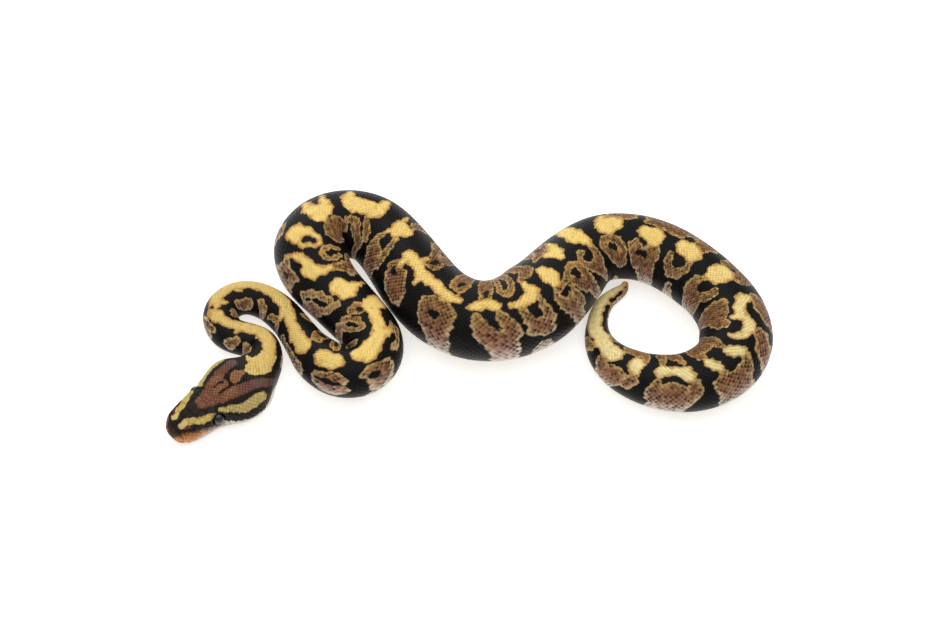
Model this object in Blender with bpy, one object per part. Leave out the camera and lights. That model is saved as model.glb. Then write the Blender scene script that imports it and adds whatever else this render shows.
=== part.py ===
"""A young ball python at rest, life size: a still model built from closed solids.

The snake lies on its belly on a flat floor (z = 0) in loose bends. Seen from above, with
+Y pointing up the page, the head is at the lower left. The neck makes a tight loop, the
trunk runs down to a hairpin, up round a shoulder loop, across in one shallow sag, and
round a wide loop on the right, where the tail tip tucks in under the trunk.

Every length below is in millimetres until MM turns it into metres. A place on the body
is given by its distance from the snout along the spine ("station") and by an angle
round the body, measured from the middle of the back.
"""

from math import ceil, cos, pi, radians, sin

import bpy
import numpy as np

MM = 0.001

# ---- driving sizes ---------------------------------------------------------------------

GAP = 0.3                 # clearance between neighbouring solids
BODY_HEIGHT_RATIO = 0.86  # half height over half width of the trunk's oval section
BELLY_SINK = 0.08         # share of the half height that the floor flattens
BACK_TAPER = 0.06         # how much narrower the back is than the belly
BEND_FILL = 0.9           # how far a flank may reach towards the centre of its bend
SMOOTHING = 3.0           # length over which the girth stations are blended
RING_STEP = 3.4           # distance between the rings of the solids
RING_TURN = radians(17)   # largest turn between two rings
SIDE_FACES = 11           # faces from the middle of the back down to the belly's edge
HEAD_END = 31.0           # station where the head solid meets the neck
HEAD_BLEND = (27.0, 36.0)  # stations between which head sections turn into trunk ones
HEAD_STEP = 1.5

EYE_STATION = 12.5
EYE_OUT = 5.35            # distance of the eye's centre from the head's middle plane
EYE_HEIGHT = 5.4
EYE_RADIUS = 1.7

# The middle of the model's box seen from above, as COURSE counts.
MODEL_MIDDLE = (0.92, 1.17)

# The spine seen from above, snout first, as the bends need it.
COURSE = {
    "head": [(-79.9, -37.3), (-70.6, -29.5), (-62.2, -22.8)],
    "nape": [(-57.4, -17.1), (-55.9, -12.2), (-57.2, -8)],
    "neck loop": [(-61.3, -6), (-65.8, -4), (-68.4, 0.5), (-67.5, 5.3), (-63.5, 8.1), (-58.3, 7.6)],
    "run down": [(-53, 4), (-48.6, -1.5), (-44.1, -9)],
    "hairpin": [(-39.8, -14.8), (-34, -18.2), (-28.5, -17), (-25.7, -12), (-26.6, -6.5)],
    "run up": [(-30.7, -0.5), (-36.9, 7.1), (-42.8, 16)],
    "shoulder loop": [(-43.2, 24.4), (-37.7, 30.7), (-28.1, 30), (-20.5, 21.6)],
    "sag": [(-14.5, 11.2), (-7.5, 1.9), (2, -3.2), (12, -2.1), (20.3, 4)],
    "rise": [(27.2, 13.2), (34.3, 21.5), (43, 23.8)],
    "wide loop": [(53, 21.3), (62.8, 13.9), (70.2, 4.5), (73.2, -6), (70.2, -16.2), (60.8, -22.1),
                  (50.3, -21.4)],
    "tail": [(41.1, -15.8), (36.2, -7.2), (35.8, 1.2), (38.15, 7.9), (41.4, 11.3), (43.4, 13.7),
             (44.2, 16.4)],
}

# Half width of the body at stations behind the head.
GIRTH = [(30, 6.2), (37, 4.9), (62, 5.0), (84, 5.0), (91, 5.6), (97, 6.8), (105, 7.6), (120, 7.9),
         (142, 9.0), (158, 10.9), (170, 10.2), (186, 10.2), (202, 11.0), (228, 11.7), (243, 12.5),
         (257, 11.3), (267, 9.9), (308, 9.4), (326, 10.1), (342, 9.0), (355, 7.8), (366, 6.4),
         (373, 5.0), (378, 4.0), (383, 3.1), (388, 2.7), (393, 2.4), (397, 2.1), (400, 1.6),
         (402, 0.8)]

# The head at its stations: half width, height of the top, height of the chin.
HEAD = [(0.0, 1.7, 4.2, 2.2), (0.6, 2.9, 4.9, 1.3), (1.5, 3.9, 5.5, 0.9), (3.0, 4.9, 6.3, 0.6),
        (5.0, 5.5, 7.1, 0.3), (8.0, 5.9, 8.1, 0.1), (11.0, 6.1, 8.8, 0.0), (14.0, 6.8, 9.3, 0.0),
        (17.0, 8.2, 9.8, 0.0), (20.0, 9.3, 10.1, 0.0), (23.0, 9.6, 10.1, 0.0),
        (26.0, 8.8, 9.8, 0.0), (29.0, 7.1, 9.3, 0.0), (32.0, 5.7, 8.8, 0.0), (36.0, 5.0, 8.4, 0.0)]
JAW_LEVEL = 0.4           # height of the head's widest level over its top
HEAD_ROUNDNESS = 0.7      # below 1 the head's section is squarer than an oval
CROWN_TAPER = 0.02        # how much narrower the crown is than the jaws

# The lengths that the body is divided into: name and the station where each one ends.
LENGTHS = [("neck", 62), ("trunk_01", 92), ("trunk_02", 126), ("trunk_03", 150), ("trunk_04", 180),
           ("trunk_05", 208), ("trunk_06", 236), ("trunk_07", 262), ("trunk_08", 290),
           ("trunk_09", 318), ("trunk_10", 343), ("trunk_11", 366)]

COLOURS = {
    "scales": ((0.012, 0.012, 0.012), 0.45),
    "crown": ((0.09, 0.03, 0.02), 0.45),
    "eye": ((0.004, 0.004, 0.005), 0.08),
}


# ---- the spine -------------------------------------------------------------------------

def natural_spline(knots, values, at):
    """Values of the natural cubic spline through the knots."""
    knots, values = np.asarray(knots, float), np.asarray(values, float)
    count = len(knots)
    step = np.diff(knots)
    slope = np.diff(values) / step
    system = np.eye(count)
    right = np.zeros(count)
    for i in range(1, count - 1):
        system[i, i - 1:i + 2] = step[i - 1], 2 * (step[i - 1] + step[i]), step[i]
        right[i] = 6 * (slope[i] - slope[i - 1])
    bend = np.linalg.solve(system, right)
    k = np.clip(np.searchsorted(knots, at) - 1, 0, count - 2)
    before, after, width = at - knots[k], knots[k + 1] - at, step[k]
    return ((bend[k] * after ** 3 + bend[k + 1] * before ** 3) / (6 * width)
            + (values[k] / width - bend[k] * width / 6) * after
            + (values[k + 1] / width - bend[k + 1] * width / 6) * before)


class Spine:
    """The course as a smooth curve, read by station."""

    SAMPLES = 6000
    SPACING = 0.25

    def __init__(self):
        points = np.array([point for bend in COURSE.values() for point in bend], float)
        points -= np.array(MODEL_MIDDLE)
        chords = np.linalg.norm(np.diff(points, axis=0), axis=1)
        knots = np.concatenate([[0], np.cumsum(chords ** 0.5)])
        at = np.linspace(0, knots[-1], self.SAMPLES)
        fine = np.stack([natural_spline(knots, points[:, i], at) for i in (0, 1)], axis=1)
        run = np.concatenate([[0], np.cumsum(np.linalg.norm(np.diff(fine, axis=0), axis=1))])
        self.length = run[-1]
        self.stations = np.arange(0, self.length, self.SPACING)
        self.xy = np.stack([np.interp(self.stations, run, fine[:, i]) for i in (0, 1)], axis=1)
        ahead = np.gradient(self.xy, self.SPACING, axis=0)
        self.heading = np.unwrap(np.arctan2(ahead[:, 1], ahead[:, 0]))
        self.curvature = np.gradient(self.heading, self.SPACING)
        self.half_width = self.blended(np.interp(self.stations, *zip(*GIRTH)))

    def blended(self, values):
        """The values averaged over a bell-shaped window, so that no station shows."""
        reach = int(SMOOTHING / self.SPACING)
        window = np.hanning(2 * reach + 3)[1:-1]
        padded = np.pad(values, reach, mode="edge")
        return np.convolve(padded, window / window.sum(), mode="valid")

    def read(self, table, station):
        return float(np.interp(station, self.stations, table))

    def frame(self, station):
        """Place, heading, curvature and half width at a station."""
        x, y = (self.read(self.xy[:, i], station) for i in (0, 1))
        return x, y, *(self.read(t, station) for t in (self.heading, self.curvature, self.half_width))


# ---- the sections ----------------------------------------------------------------------

def smooth_step(low, high, value):
    t = min(max((value - low) / (high - low), 0.0), 1.0)
    return t * t * (3 - 2 * t)


def body_section(half_width, angle):
    """Sideways reach and height of the trunk's surface at an angle from the back."""
    half_height = half_width * BODY_HEIGHT_RATIO
    middle = half_height * (1 - BELLY_SINK)
    out = half_width * sin(angle) * (1 - BACK_TAPER * cos(angle))
    return out, max(0.0, middle + half_height * cos(angle))


def head_section(station, angle):
    """The same for the head: low wide jaws, a narrower crown and a flat chin."""
    stations, widths, tops, chins = zip(*HEAD)
    half_width, top, chin = (float(np.interp(station, stations, t)) for t in (widths, tops, chins))
    jaw = chin + (top - chin) * JAW_LEVEL
    side, up = sin(angle), cos(angle)
    out = half_width * abs(side) ** HEAD_ROUNDNESS * (1 - CROWN_TAPER * up)
    rise = (top - jaw) if up > 0 else (jaw - chin) / (1 - BELLY_SINK)
    height = jaw + rise * np.sign(up) * abs(up) ** HEAD_ROUNDNESS
    return float(np.copysign(out, side)), max(chin, float(height))


BELLY_EDGE = pi - float(np.arccos(1 - BELLY_SINK))   # angle where the flank meets the floor


def ring(spine, station):
    """The corners of the body's section at a station, in metres."""
    x, y, heading, curvature, half_width = spine.frame(station)
    to_trunk = smooth_step(*HEAD_BLEND, station)
    corners = []
    for k in range(-SIDE_FACES, SIDE_FACES + 1):
        angle = BELLY_EDGE * k / SIDE_FACES
        head = head_section(station, angle) if to_trunk < 1 else (0.0, 0.0)
        trunk = body_section(half_width, angle)
        out, height = (h * (1 - to_trunk) + t * to_trunk for h, t in zip(head, trunk))
        if out * curvature > 0:
            out = np.copysign(min(abs(out), BEND_FILL * abs(out) / half_width / abs(curvature)), out)
        corners.append((MM * (x - out * sin(heading)), MM * (y + out * cos(heading)), MM * height))
    return corners


def ring_stations(spine, start, end, step):
    """Stations from start to end, closer together where the body bends."""
    inside = np.arange(start, end, spine.SPACING)
    curvature = np.abs(np.interp(inside, spine.stations, spine.curvature))
    density = np.maximum(1 / step, curvature / RING_TURN)
    count = np.concatenate([[0], np.cumsum(density[:-1] * spine.SPACING)])
    rings = ceil(count[-1]) + 1
    places = np.interp(np.linspace(0, count[-1], rings), count, inside)
    places[-1] = end
    return places


# ---- making the objects ----------------------------------------------------------------

def clear_scene():
    for obj in list(bpy.data.objects):
        bpy.data.objects.remove(obj, do_unlink=True)


def material(name):
    colour, roughness = COLOURS[name]
    made = bpy.data.materials.get(name)
    if made is None:
        made = bpy.data.materials.new(name)
        made.use_nodes = True
        shader = made.node_tree.nodes["Principled BSDF"]
        shader.inputs["Base Color"].default_value = (*colour, 1.0)
        shader.inputs["Roughness"].default_value = roughness
        shader.inputs["Metallic"].default_value = 0.0
    return made


def solid(name, points, faces, finish):
    mesh = bpy.data.meshes.new(name)
    mesh.from_pydata(points, [], faces)
    mesh.validate()
    mesh.shade_smooth()
    mesh.set_sharp_from_angle(angle=radians(50))
    mesh.materials.append(material(finish))
    obj = bpy.data.objects.new(name, mesh)
    bpy.context.collection.objects.link(obj)
    return obj


def loft(name, spine, stations, finish):
    """One closed length of the body, with a flat face at each end."""
    rings = [ring(spine, station) for station in stations]
    around = len(rings[0])
    points = [corner for corners in rings for corner in corners]
    faces = []
    for row in range(len(rings) - 1):
        for k in range(around):
            a, b = row * around + k, row * around + (k + 1) % around
            faces.append((a, a + around, b + around, b))
    last = (len(rings) - 1) * around
    faces.append(tuple(range(around)))
    faces.append(tuple(reversed(range(last, last + around))))
    return solid(name, points, faces, finish)


def ball(name, centre, radius, finish, segments=20, rows=12):
    points = [(0, 0, radius)]
    for row in range(1, rows):
        tilt = pi * row / rows
        for k in range(segments):
            turn = 2 * pi * k / segments
            points.append((radius * sin(tilt) * cos(turn), radius * sin(tilt) * sin(turn),
                           radius * cos(tilt)))
    points.append((0, 0, -radius))
    bottom = len(points) - 1
    faces = []
    for k in range(segments):
        after = (k + 1) % segments
        faces.append((0, 1 + k, 1 + after))
        for row in range(rows - 2):
            a, b = 1 + row * segments + k, 1 + row * segments + after
            faces.append((a, a + segments, b + segments, b))
        a, b = 1 + (rows - 2) * segments + k, 1 + (rows - 2) * segments + after
        faces.append((a, bottom, b))
    obj = solid(name, points, faces, finish)
    obj.location = centre
    return obj


def eye_centre(spine, side):
    x, y, heading, *_ = spine.frame(EYE_STATION)
    out = side * EYE_OUT
    return (MM * (x - out * sin(heading)), MM * (y + out * cos(heading)), MM * EYE_HEIGHT)


def make_head(spine):
    """The head with a round socket for each eye, and the two eyes."""
    head = loft("head", spine, ring_stations(spine, 0, HEAD_END - GAP / 2, HEAD_STEP), "crown")
    for side, name in ((-1, "left"), (1, "right")):
        centre = eye_centre(spine, side)
        ball("eye_" + name, centre, MM * EYE_RADIUS, "eye")
        socket = ball("socket_" + name, centre, MM * (EYE_RADIUS + GAP), "eye")
        socket.hide_render = True
        socket.display_type = "WIRE"
        cut = head.modifiers.new("socket_" + name, "BOOLEAN")
        cut.operation = "DIFFERENCE"
        cut.object = socket
    return head


def make_lengths(spine):
    """The neck and the trunk, a few bends at a time, and the tail."""
    start = HEAD_END
    for name, end in [*LENGTHS, ("tail", spine.length + GAP / 2)]:
        stations = ring_stations(spine, start + GAP / 2, end - GAP / 2, RING_STEP)
        loft(name, spine, stations, "scales")
        start = end


def main():
    clear_scene()
    spine = Spine()
    make_head(spine)
    make_lengths(spine)


main()
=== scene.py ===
"""The looks of the young ball python: skin, scales, head plates, eyes, floor, light, camera.

Lengths are in millimetres until MM turns them into metres. A place on the body is given
by its station (distance from the snout along the spine) and either by an angle round the
body from the middle of the back, or by the distance from there along the surface. Both
are positive on the animal's right.
"""

from math import cos, pi, radians, sin

import bpy
import numpy as np
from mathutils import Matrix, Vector
from mathutils.bvhtree import BVHTree

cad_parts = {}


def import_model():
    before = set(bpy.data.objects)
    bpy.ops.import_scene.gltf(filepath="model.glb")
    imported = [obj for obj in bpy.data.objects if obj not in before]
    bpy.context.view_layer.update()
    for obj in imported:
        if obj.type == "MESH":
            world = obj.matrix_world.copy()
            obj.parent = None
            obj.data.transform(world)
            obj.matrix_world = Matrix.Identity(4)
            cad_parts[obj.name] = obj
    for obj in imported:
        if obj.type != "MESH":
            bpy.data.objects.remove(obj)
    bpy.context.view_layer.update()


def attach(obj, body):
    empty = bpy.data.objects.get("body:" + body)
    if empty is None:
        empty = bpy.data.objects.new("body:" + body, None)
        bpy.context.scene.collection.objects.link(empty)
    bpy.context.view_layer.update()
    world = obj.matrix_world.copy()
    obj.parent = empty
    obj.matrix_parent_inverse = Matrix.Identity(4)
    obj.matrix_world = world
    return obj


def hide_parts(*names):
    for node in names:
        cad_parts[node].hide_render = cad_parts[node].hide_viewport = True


MM = 0.001
SEED = 7

# ---- the body's sizes, as the solids have them

BODY_HEIGHT_RATIO = 0.86
BELLY_SINK = 0.08
BACK_TAPER = 0.06
BEND_FILL = 0.9
SMOOTHING = 3.0
HEAD_BLEND = (27.0, 36.0)
MODEL_MIDDLE = (0.92, 1.17)
EYE_STATION = 12.5
EYE_OUT = 5.35
EYE_HEIGHT = 5.4
EYE_RADIUS = 1.7

# Points of the spine from above, bend by bend from the snout on.
COURSE = {
    "head": [(-79.9, -37.3), (-70.6, -29.5), (-62.2, -22.8)],
    "nape": [(-57.4, -17.1), (-55.9, -12.2), (-57.2, -8)],
    "neck loop": [(-61.3, -6), (-65.8, -4), (-68.4, 0.5), (-67.5, 5.3), (-63.5, 8.1), (-58.3, 7.6)],
    "run down": [(-53, 4), (-48.6, -1.5), (-44.1, -9)],
    "hairpin": [(-39.8, -14.8), (-34, -18.2), (-28.5, -17), (-25.7, -12), (-26.6, -6.5)],
    "run up": [(-30.7, -0.5), (-36.9, 7.1), (-42.8, 16)],
    "shoulder loop": [(-43.2, 24.4), (-37.7, 30.7), (-28.1, 30), (-20.5, 21.6)],
    "sag": [(-14.5, 11.2), (-7.5, 1.9), (2, -3.2), (12, -2.1), (20.3, 4)],
    "rise": [(27.2, 13.2), (34.3, 21.5), (43, 23.8)],
    "wide loop": [(53, 21.3), (62.8, 13.9), (70.2, 4.5), (73.2, -6), (70.2, -16.2), (60.8, -22.1),
                  (50.3, -21.4)],
    "tail": [(41.1, -15.8), (36.2, -7.2), (35.8, 1.2), (38.15, 7.9), (41.4, 11.3), (43.4, 13.7),
             (44.2, 16.4)],
}
# Half width of the body by station.
GIRTH = [(30, 6.2), (37, 4.9), (62, 5.0), (84, 5.0), (91, 5.6), (97, 6.8), (105, 7.6), (120, 7.9),
         (142, 9.0), (158, 10.9), (170, 10.2), (186, 10.2), (202, 11.0), (228, 11.7), (243, 12.5),
         (257, 11.3), (267, 9.9), (308, 9.4), (326, 10.1), (342, 9.0), (355, 7.8), (366, 6.4),
         (373, 5.0), (378, 4.0), (383, 3.1), (388, 2.7), (393, 2.4), (397, 2.1), (400, 1.6),
         (402, 0.8)]
# The head's station, half width, height of the crown and height of the chin.
HEAD = [(0.0, 1.7, 4.2, 2.2), (0.6, 2.9, 4.9, 1.3), (1.5, 3.9, 5.5, 0.9), (3.0, 4.9, 6.3, 0.6),
        (5.0, 5.5, 7.1, 0.3), (8.0, 5.9, 8.1, 0.1), (11.0, 6.1, 8.8, 0.0), (14.0, 6.8, 9.3, 0.0),
        (17.0, 8.2, 9.8, 0.0), (20.0, 9.3, 10.1, 0.0), (23.0, 9.6, 10.1, 0.0),
        (26.0, 8.8, 9.8, 0.0), (29.0, 7.1, 9.3, 0.0), (32.0, 5.7, 8.8, 0.0), (36.0, 5.0, 8.4, 0.0)]
JAW_LEVEL = 0.4
HEAD_ROUNDNESS = 0.7
CROWN_TAPER = 0.02

# ---- the coat's sizes

COAT_DEPTH = 0.16         # how far the skin lies inside the solids
PLATE_FOOT = 0.22         # how far below the solids' surface a scale's foot lies
ROW_WIDTH = 0.70          # distance between rows of scales on a body of USUAL_GIRTH
SCALE_RUN = 1.15          # distance between scales in a row there
USUAL_GIRTH = 10.5
ROW_GROWTH = 0.22         # power of the girth that the rows' width follows
RUN_GROWTH = 0.10         # power of the girth that the scales' length follows
CELL_END = 24.0           # station where separate cells give way to overlapping scales
BELLY_START = 31.0        # station of the first belly plate
VENT = 366.0
BELLY_SHARE = 0.55        # half width of a belly plate over the body's half width
BELLY_RUN = 1.67          # distance between belly plates
TAIL_END = 402.7
HEAD_END = 34             # station where the head's pieces end
COAT_SPLITS = (HEAD_END, 78, 120, 170, 212, 252, 296, 335, 403)   # between the coat's pieces


# ---- small helpers

def ramp(low, high, value):
    """0 below low, 1 above high, smooth between."""
    t = np.clip((np.asarray(value, float) - low) / (high - low), 0, 1)
    return t * t * (3 - 2 * t)


def mix(a, b, share):
    share = np.asarray(share, float)[..., None]
    return np.asarray(a) * (1 - share) + np.asarray(b) * share


def tint(red, green, blue):
    """A colour in the usual 0 to 255 steps as linear light."""
    value = np.array([red, green, blue]) / 255
    return np.where(value <= 0.04045, value / 12.92, ((value + 0.055) / 1.055) ** 2.4)


def unit(vectors):
    return vectors / np.maximum(np.linalg.norm(vectors, axis=-1, keepdims=True), 1e-9)


def natural_spline(knots, values, at):
    """Values of the natural cubic spline through the knots."""
    knots, values = np.asarray(knots, float), np.asarray(values, float)
    count = len(knots)
    step = np.diff(knots)
    slope = np.diff(values) / step
    system = np.eye(count)
    right = np.zeros(count)
    for i in range(1, count - 1):
        system[i, i - 1:i + 2] = step[i - 1], 2 * (step[i - 1] + step[i]), step[i]
        right[i] = 6 * (slope[i] - slope[i - 1])
    bend = np.linalg.solve(system, right)
    k = np.clip(np.searchsorted(knots, at) - 1, 0, count - 2)
    before, after, width = at - knots[k], knots[k + 1] - at, step[k]
    return ((bend[k] * after ** 3 + bend[k + 1] * before ** 3) / (6 * width)
            + (values[k] / width - bend[k] * width / 6) * after
            + (values[k + 1] / width - bend[k + 1] * width / 6) * before)


# ---- the form: spine and sections

class Form:
    """The outer surface of the body, read by station and angle."""

    SAMPLES = 6000
    SPACING = 0.25
    TABLE_STEP = 0.5
    ANGLES = 721
    SHARES = 241

    def __init__(self):
        points = np.array([point for bend in COURSE.values() for point in bend], float)
        points -= np.array(MODEL_MIDDLE)
        chords = np.linalg.norm(np.diff(points, axis=0), axis=1)
        knots = np.concatenate([[0], np.cumsum(chords ** 0.5)])
        at = np.linspace(0, knots[-1], self.SAMPLES)
        fine = np.stack([natural_spline(knots, points[:, i], at) for i in (0, 1)], axis=1)
        run = np.concatenate([[0], np.cumsum(np.linalg.norm(np.diff(fine, axis=0), axis=1))])
        self.length = run[-1]
        self.stations = np.arange(0, self.length, self.SPACING)
        self.xy = np.stack([np.interp(self.stations, run, fine[:, i]) for i in (0, 1)], axis=1)
        ahead = np.gradient(self.xy, self.SPACING, axis=0)
        self.heading = np.unwrap(np.arctan2(ahead[:, 1], ahead[:, 0]))
        self.curvature = np.gradient(self.heading, self.SPACING)
        self.girth = self.blended(np.interp(self.stations, *zip(*GIRTH)))
        self.measure_sections()

    def blended(self, values):
        reach = int(SMOOTHING / self.SPACING)
        window = np.hanning(2 * reach + 3)[1:-1]
        padded = np.pad(values, reach, mode="edge")
        return np.convolve(padded, window / window.sum(), mode="valid")

    def half_width(self, station):
        return np.interp(station, self.stations, self.girth)

    def spine(self, station):
        """Place, heading and curvature of the spine; straight on past its ends."""
        inside = np.clip(station, 0, self.stations[-1])
        x, y, heading, curvature = (np.interp(inside, self.stations, values) for values in
                                    (*self.xy.T, self.heading, self.curvature))
        beyond = station - inside
        return x + beyond * np.cos(heading), y + beyond * np.sin(heading), heading, curvature

    def section(self, station, angle):
        """Sideways reach and height of the surface."""
        side, up = np.sin(angle), np.cos(angle)
        width = self.half_width(station)
        tall = width * BODY_HEIGHT_RATIO
        out = width * side * (1 - BACK_TAPER * up)
        height = np.maximum(0, tall * (1 - BELLY_SINK) + tall * up)
        to_trunk = ramp(*HEAD_BLEND, station)
        if np.min(station) < HEAD_BLEND[1]:
            head_out, head_height = self.head_section(station, side, up)
            out = head_out * (1 - to_trunk) + out * to_trunk
            height = head_height * (1 - to_trunk) + height * to_trunk
        return out, height

    @staticmethod
    def head_section(station, side, up):
        knots, widths, tops, chins = zip(*HEAD)
        root = np.sqrt(knots)
        at = np.sqrt(np.clip(station, 0, knots[-1]))
        width, top, chin = (natural_spline(root, table, at) for table in (widths, tops, chins))
        chin = np.maximum(chin, 0)
        jaw = chin + (top - chin) * JAW_LEVEL
        out = width * np.sign(side) * np.abs(side) ** HEAD_ROUNDNESS * (1 - CROWN_TAPER * up)
        rise = np.where(up > 0, top - jaw, (jaw - chin) / (1 - BELLY_SINK))
        height = jaw + rise * np.sign(up) * np.abs(up) ** HEAD_ROUNDNESS
        return out, np.maximum(chin, height)

    def points(self, station, angle):
        station, angle = np.broadcast_arrays(np.asarray(station, float), angle)
        out, height = self.section(station, angle)
        x, y, heading, curvature = self.spine(station)
        width = self.half_width(station)
        inner = out * curvature > 0
        limit = BEND_FILL * np.abs(out) / width / np.maximum(np.abs(curvature), 1e-6)
        out = np.where(inner, np.sign(out) * np.minimum(np.abs(out), limit), out)
        return np.stack([x - out * np.sin(heading), y + out * np.cos(heading), height], axis=-1)

    def points_and_normals(self, station, angle, step=0.2, turn=0.012):
        along = self.points(station + step, angle) - self.points(station - step, angle)
        around = self.points(station, angle + turn) - self.points(station, angle - turn)
        return self.points(station, angle), unit(np.cross(along, around))

    def measure_sections(self):
        """Tables that turn a distance along the surface into an angle."""
        self.rows = np.arange(0, self.length, self.TABLE_STEP)
        angles = np.linspace(0, pi, self.ANGLES)
        shares = np.linspace(0, 1, self.SHARES)
        self.half_round, self.angle_table = {}, {}
        for side in (1, -1):
            ring = self.points(self.rows[:, None], side * angles[None, :])
            steps = np.linalg.norm(np.diff(ring, axis=1), axis=2)
            arc = np.concatenate([np.zeros((len(ring), 1)), np.cumsum(steps, axis=1)], axis=1)
            self.half_round[side] = arc[:, -1]
            self.angle_table[side] = np.stack(
                [np.interp(shares * row[-1], row, angles) for row in arc])

    def half_way_round(self, station, side):
        return np.interp(station, self.rows, self.half_round[side])

    def angle_at(self, station, distance):
        """The angle at a distance from the middle of the back along the surface."""
        station, distance = np.broadcast_arrays(np.asarray(station, float), distance)
        angle = np.empty(station.shape)
        for side in (1, -1):
            mine = (distance >= 0) if side > 0 else (distance < 0)
            s, d = station[mine], np.abs(distance[mine])
            share = np.clip(d / self.half_way_round(s, side), 0, 1) * (self.SHARES - 1)
            row = np.clip(s / self.TABLE_STEP, 0, len(self.rows) - 1.001)
            i, j = row.astype(int), np.minimum(share.astype(int), self.SHARES - 2)
            f, g = row - i, share - j
            table = self.angle_table[side]
            found = ((table[i, j] * (1 - g) + table[i, j + 1] * g) * (1 - f)
                     + (table[i + 1, j] * (1 - g) + table[i + 1, j + 1] * g) * f)
            angle[mine] = side * found
        return angle

    def spot(self, station, distance):
        """One point of the surface, at a distance from the middle of the back."""
        station = np.array([station])
        return self.points(station, self.angle_at(station, np.array([distance])))[0]

    def level(self, station, side, height):
        """Angle, and distance from the middle of the back, at a height on one flank."""
        angles = np.linspace(0.15, pi - 0.05, 600) * side
        heights = self.points(np.full(600, station), angles)[:, 2]
        angle = float(np.interp(-height, -heights, angles))
        return angle, float(self.distance_at(np.array([station]), np.array([angle]))[0])

    def distance_at(self, station, angle):
        """The distance from the middle of the back at an angle."""
        station, angle = np.broadcast_arrays(np.asarray(station, float), angle)
        distance = np.empty(station.shape)
        for side in (1, -1):
            mine = (angle >= 0) if side > 0 else (angle < 0)
            low = np.zeros(mine.sum())
            high = self.half_way_round(station[mine], side)
            for _ in range(14):
                middle = (low + high) / 2
                over = np.abs(self.angle_at(station[mine], side * middle)) > np.abs(angle[mine])
                high = np.where(over, middle, high)
                low = np.where(over, low, middle)
            distance[mine] = side * (low + high) / 2
        return distance

    def locate(self, points):
        """Station, sideways reach and height of points near the head."""
        near = self.xy[self.stations < 45]
        gap = np.linalg.norm(points[:, None, :2] - near[None], axis=2)
        k = np.argmin(gap, axis=1)
        heading = self.heading[k]
        offset = points[:, :2] - near[k]
        ahead = offset[:, 0] * np.cos(heading) + offset[:, 1] * np.sin(heading)
        out = -offset[:, 0] * np.sin(heading) + offset[:, 1] * np.cos(heading)
        return self.stations[k] + ahead, out, points[:, 2]

    def place(self, station, out, height):
        """The point with that station, sideways reach and height."""
        x, y, heading, _ = self.spine(np.array([station]))
        return np.array([x[0] - out * np.sin(heading[0]), y[0] + out * np.cos(heading[0]), height])


# ---- the head's relief

CANTHUS = ((3.0, 4.0, 5.6), (10.8, 5.0, 7.9))   # ridge from nostril to brow
MOUTH_LEVEL = [(0, 2.5), (2, 2.2), (6, 2.3), (12, 2.6), (17, 2.8), (20, 2.4), (22, 1.9)]
MOUTH_END = 21.0
NOSTRIL = (3.5, 3.3)                            # station and distance from the middle
NOSTRIL_RADIUS = 0.42
NOSTRIL_DEPTH = 0.55
PIT_STATIONS = (0.7, 2.1, 3.7, 5.4)
PIT_RISE = 1.45                                 # height of a heat pit over the mouth
PIT_RADIUS = 0.26
PIT_DEPTH = 0.32
SNOUT_PIT = (0.75, 3.6, 0.22, 0.25)             # reach, height, radius and depth at the tip


def bell(distance, width):
    return np.exp(-(distance / width) ** 2 / 2)


def mouth_height(station):
    return np.interp(station, *zip(*MOUTH_LEVEL))


def head_relief(station, out, height):
    """How far the head's folds stand out from its plain sections."""
    side = np.abs(out)
    place = np.stack([station, side, height], axis=-1)
    start, end = (np.array(p) for p in CANTHUS)
    along = np.clip((place - start) @ (end - start) / ((end - start) @ (end - start)), 0, 1)
    ridge = bell(np.linalg.norm(place - start - along[..., None] * (end - start), axis=-1), 0.6)
    on_flank = ramp(3.4, 4.6, side)
    hollow = bell(station - 7.3, 1.8) * bell(height - 5.0, 0.9) * on_flank
    from_eye = np.hypot(station - EYE_STATION, height - EYE_HEIGHT)
    brow = bell(from_eye - 2.75, 0.45) * ramp(-0.6, 1.2, height - EYE_HEIGHT) * on_flank
    lid = (1 - ramp(1.7, 2.5, from_eye)) * on_flank
    cheek = bell(station - 19.5, 3.2) * bell(height - 4.6, 1.7) * ramp(6, 8, side)
    furrow = bell(out, 0.7) * ramp(13, 16, station) * (1 - ramp(23, 27, station))
    mouth = bell(height - mouth_height(station), 0.2) * (1 - ramp(MOUTH_END - 1, MOUTH_END + 0.5, station))
    mouth = mouth * ramp(0.2, 0.6, height)
    return (0.24 * ridge - 0.32 * hollow + 0.24 * brow - 0.42 * lid + 0.22 * cheek
            - 0.12 * furrow - 0.24 * mouth)


# ---- the markings
#
# Marks are written as text. A disc is station,angle,radius, a stroke is a run of discs
# joined up, a slash parts the strokes of a mark, and the strokes after a bar are cut out
# of it again. A semicolon ends a mark. Angles are in degrees from the middle of the back,
# to the right, and to the left in LEFT_FLANK.

BELLY_ANGLE = 115         # where the cream of the belly starts
MEAN_RADIUS = 0.96        # the body's mean radius over its half width
EDGE = 0.10               # half width of the soft border of a mark
HEAD_EDGE = 0.16
MARK_JOIN = 0.22          # how far the strokes of a mark run together in their corners
HEAD_JOIN = 0.15


def read_strokes(text, side=1):
    discs = ([disc.split(",") for disc in stroke.split()] for stroke in text.split("/"))
    return [[(float(s), side * float(a), float(r)) for s, a, r in stroke] for stroke in discs]


def read_marks(text, side=1):
    """The strokes and the cuts of each mark."""
    marks = []
    for mark in text.split(";"):
        solid, *cut = mark.split("|")
        marks.append((read_strokes(solid, side), read_strokes(cut[0], side) if cut else []))
    return marks


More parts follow.
